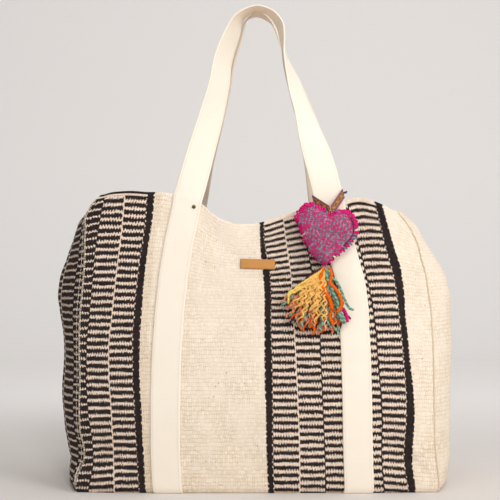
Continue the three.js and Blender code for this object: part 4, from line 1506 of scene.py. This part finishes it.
# Thick strands in front: yarn, thickness in mm, how far forward, and points across and down from
# the tassel's top in mm
FRONT_STRANDS = [
    ("orange", 2.3, 1.0, [(-3, 0), (-6, -12), (-3, -26), (5, -39), (8, -52)]),
    ("teal", 2.0, 1.0, [(2, 0), (2, -12), (8, -22), (10, -32), (15, -41), (17, -55), (21, -68)]),
    ("orange", 2.2, 1.1, [(6, 0), (8, -9), (6, -18), (13, -26), (19, -37), (21, -47), (15, -56)]),
    ("teal", 1.8, 1.0, [(4, -2), (8, -10), (15, -18), (20, -28), (25, -41), (31, -51), (36, -53)]),
    ("orange", 2.0, 0.7, [(0, 0), (1, -14), (0, -30), (9, -48), (6, -62), (10, -72)]),
    ("teal", 1.9, 0.7, [(3, -4), (6, -24), (14, -46), (20, -58), (25, -70)]),
    ("magenta", 2.2, 0.3, [(4, -4), (10, -28), (19, -48), (27, -59), (29, -69)]),
    ("pale", 1.4, 1.0, [(-4, -2), (-18, -12), (-35, -22), (-48, -35), (-46, -30), (-31, -27), (-22, -33)]),
    ("pale", 1.3, 1.0, [(-4, -3), (-22, -18), (-36, -28), (-46, -33), (-48, -45)]),
]


def add_plies(shape, path, length, radius, value):
    """Two plies twisted round each other along a path."""
    side, other = directions(path, np.array([0.1, 1.0, 0.05]))
    share = np.linspace(0, 1, len(path))
    taper = radius * np.clip(1.15 - 3.6 * np.clip(share - 0.9, 0, 1), 0.6, 1.15)
    other_value = yarn_value("sage") if value == yarn_value("teal") else value
    for ply, tint in ((0, value), (math.pi, other_value)):
        turn = (2 * np.pi * share * length / TWIST + ply)[:, None]
        twisted = path + (side * np.cos(turn) + other * np.sin(turn)) * radius * 0.8
        add_tube(shape, twisted, taper, 5, yarn=tint)


def add_strand(shape, draw, top, lean, length, forward, thick, crinkle, value):
    lean = math.radians(lean)
    end = np.array([length * math.sin(lean), -forward, -length * math.cos(lean)])
    knee = np.array([end[0] * 0.62, -forward * 1.2, end[2] * 0.28 - 6 * MM])
    t = np.linspace(0, 1, 54)[:, None]
    path = top + 2 * t * (1 - t) * knee + t * t * end
    phase = draw.normal(0, 1, 2)
    pitch = draw.uniform(10, 12.5) * MM
    waves = 2 * np.pi * t[:, 0] * length / pitch
    grow = smooth(0.08, 0.45, t[:, 0]) * crinkle
    path[:, 0] += np.sin(waves + phase[0]) * grow
    path[:, 1] += np.cos(waves + phase[1]) * grow * 0.6
    curl = smooth(0.86, 1, t[:, 0]) * draw.uniform(-5, 5) * MM
    path[:, 0] += curl
    path[:, 2] += np.abs(curl) * 0.6
    add_plies(shape, path, length, thick * 0.6, value)


def front_strand(shape, name, thick, forward, points):
    places = np.array([(across, 0, down) for across, down in points], dtype=float) * MM
    fall = np.clip(-places[:, 2] / TASSEL_LENGTH, 0, 1)
    places[:, 1] = -TASSEL_FORWARD * forward * (0.25 + np.sqrt(fall))
    path = TASSEL_TOP + Route(places).at(np.linspace(0, 1, 70))
    add_plies(shape, path, distances(path)[-1], thick * 0.6 * MM, yarn_value(name))


def tassel():
    draw = np.random.default_rng(11)
    shape = Shape("yarn")
    for group in STRANDS:
        low, high = group["lean"]
        thick, crinkle = group["thick"] * MM, group["crinkle"] * MM
        for k in range(group["count"]):
            share = (k + draw.uniform(0.1, 0.9)) / group["count"]
            lean = low + (high - low) * share
            limit = 1 - 0.2 * smooth(20, 60, abs(lean))
            length = draw.uniform(*group["length"]) / 100 * TASSEL_LENGTH * limit
            forward = draw.uniform(*group["forward"]) / 100 * TASSEL_FORWARD
            start = TASSEL_TOP + np.array([draw.uniform(-reach, reach) for reach in (3.5, 1.5, 1)]) * MM
            add_strand(shape, draw, start, lean, length, forward, thick, crinkle, yarn_value(group["yarn"]))
    for strand in FRONT_STRANDS:
        front_strand(shape, *strand)
    shape.make("charm_tassel", YARN_LOOK, "yarn", "charm_tassel")


tassel()


# Floor, backdrop, light and camera

def paper_material():
    """Pale paper, lighter where it lies behind the bag and given a painted glow there, as light falls off
    there.
    """
    n = Nodes("pale_paper")
    depth = n.add("SeparateXYZ", {0: n.add("TexCoord", output="Object")}, output=1)
    far = n.step(depth, 0.0, 1.0)
    wall = linear(230, 227, 225)
    glow = n.mix(far, linear(0, 0, 0), wall)
    paper = n.mix(far, linear(217, 211, 207), wall)
    return n.finish(paper, Roughness=0.95, Emission_Color=glow, Emission_Strength=0.16)


def backdrop():
    width, front, back, bend, top = 9.0, -3.2, 2.3, 0.6, 6.0
    profile = [(front, 0.0), (0.0, 0.0), (back - bend, 0.0)]
    for k in range(1, 17):
        turn = math.pi / 2 * k / 16
        profile.append((back - bend + bend * math.sin(turn), bend - bend * math.cos(turn)))
    profile.append((back, top))
    points = [(side * width / 2, y, z) for y, z in profile for side in (-1, 1)]
    faces = grid_faces(len(profile), 2)
    made = make_object("backdrop", points, faces, paper_material())


# Lights: place, target, size in metres, power in watts and colour
LIGHTS = {
    "key": ((1.9, -1.9, 1.5), (0, 0, 0.35), 1.1, 32, (1, 0.995, 0.985)),
    "front": ((0.25, -2.3, 1.7), (0, 0, 0.35), 0.8, 22.5, (1, 0.995, 0.985)),
    "fill": ((-1.6, -2.2, 1.2), (0, 0, 0.25), 2.0, 8, (1, 1, 1)),
    "top": ((0.2, -0.3, 2.6), (0, 0, 0), 1.8, 16, (1, 1, 1)),
    "bounce": ((0.85, -0.6, 0.1), (0, 0, 0.62), 0.5, 1.2, (1, 0.98, 0.95)),
}
WORLD_COLOUR = (0.96, 0.945, 0.92, 1)
WORLD_STRENGTH = 0.34
LENS = 83.08
CAMERA_PLACE = (-7.8 * MM, -1595 * MM, 317.85 * MM)


def area_light(name, place, target, size, power, colour):
    data = bpy.data.lights.new(name, "AREA")
    data.shape = "DISK"
    data.size = size
    data.energy = power
    data.color = colour
    light = bpy.data.objects.new(name, data)
    light.location = place
    light.rotation_euler = (Vector(target) - Vector(place)).to_track_quat("-Z", "Y").to_euler()
    bpy.context.scene.collection.objects.link(light)


def studio():
    for name, light in LIGHTS.items():
        area_light(name, *light)
    world = bpy.data.worlds.new("studio")
    world.use_nodes = True
    background = world.node_tree.nodes["Background"]
    background.inputs["Color"].default_value = WORLD_COLOUR
    background.inputs["Strength"].default_value = WORLD_STRENGTH
    bpy.context.scene.world = world
    bpy.context.scene.view_settings.view_transform = "Standard"


def camera():
    data = bpy.data.cameras.new("camera")
    data.lens = LENS
    data.sensor_width = 36
    made = bpy.data.objects.new("camera", data)
    made.location = CAMERA_PLACE
    made.rotation_euler = (math.pi / 2, 0, 0)
    bpy.context.scene.collection.objects.link(made)
    bpy.context.scene.camera = made


backdrop()
studio()
camera()
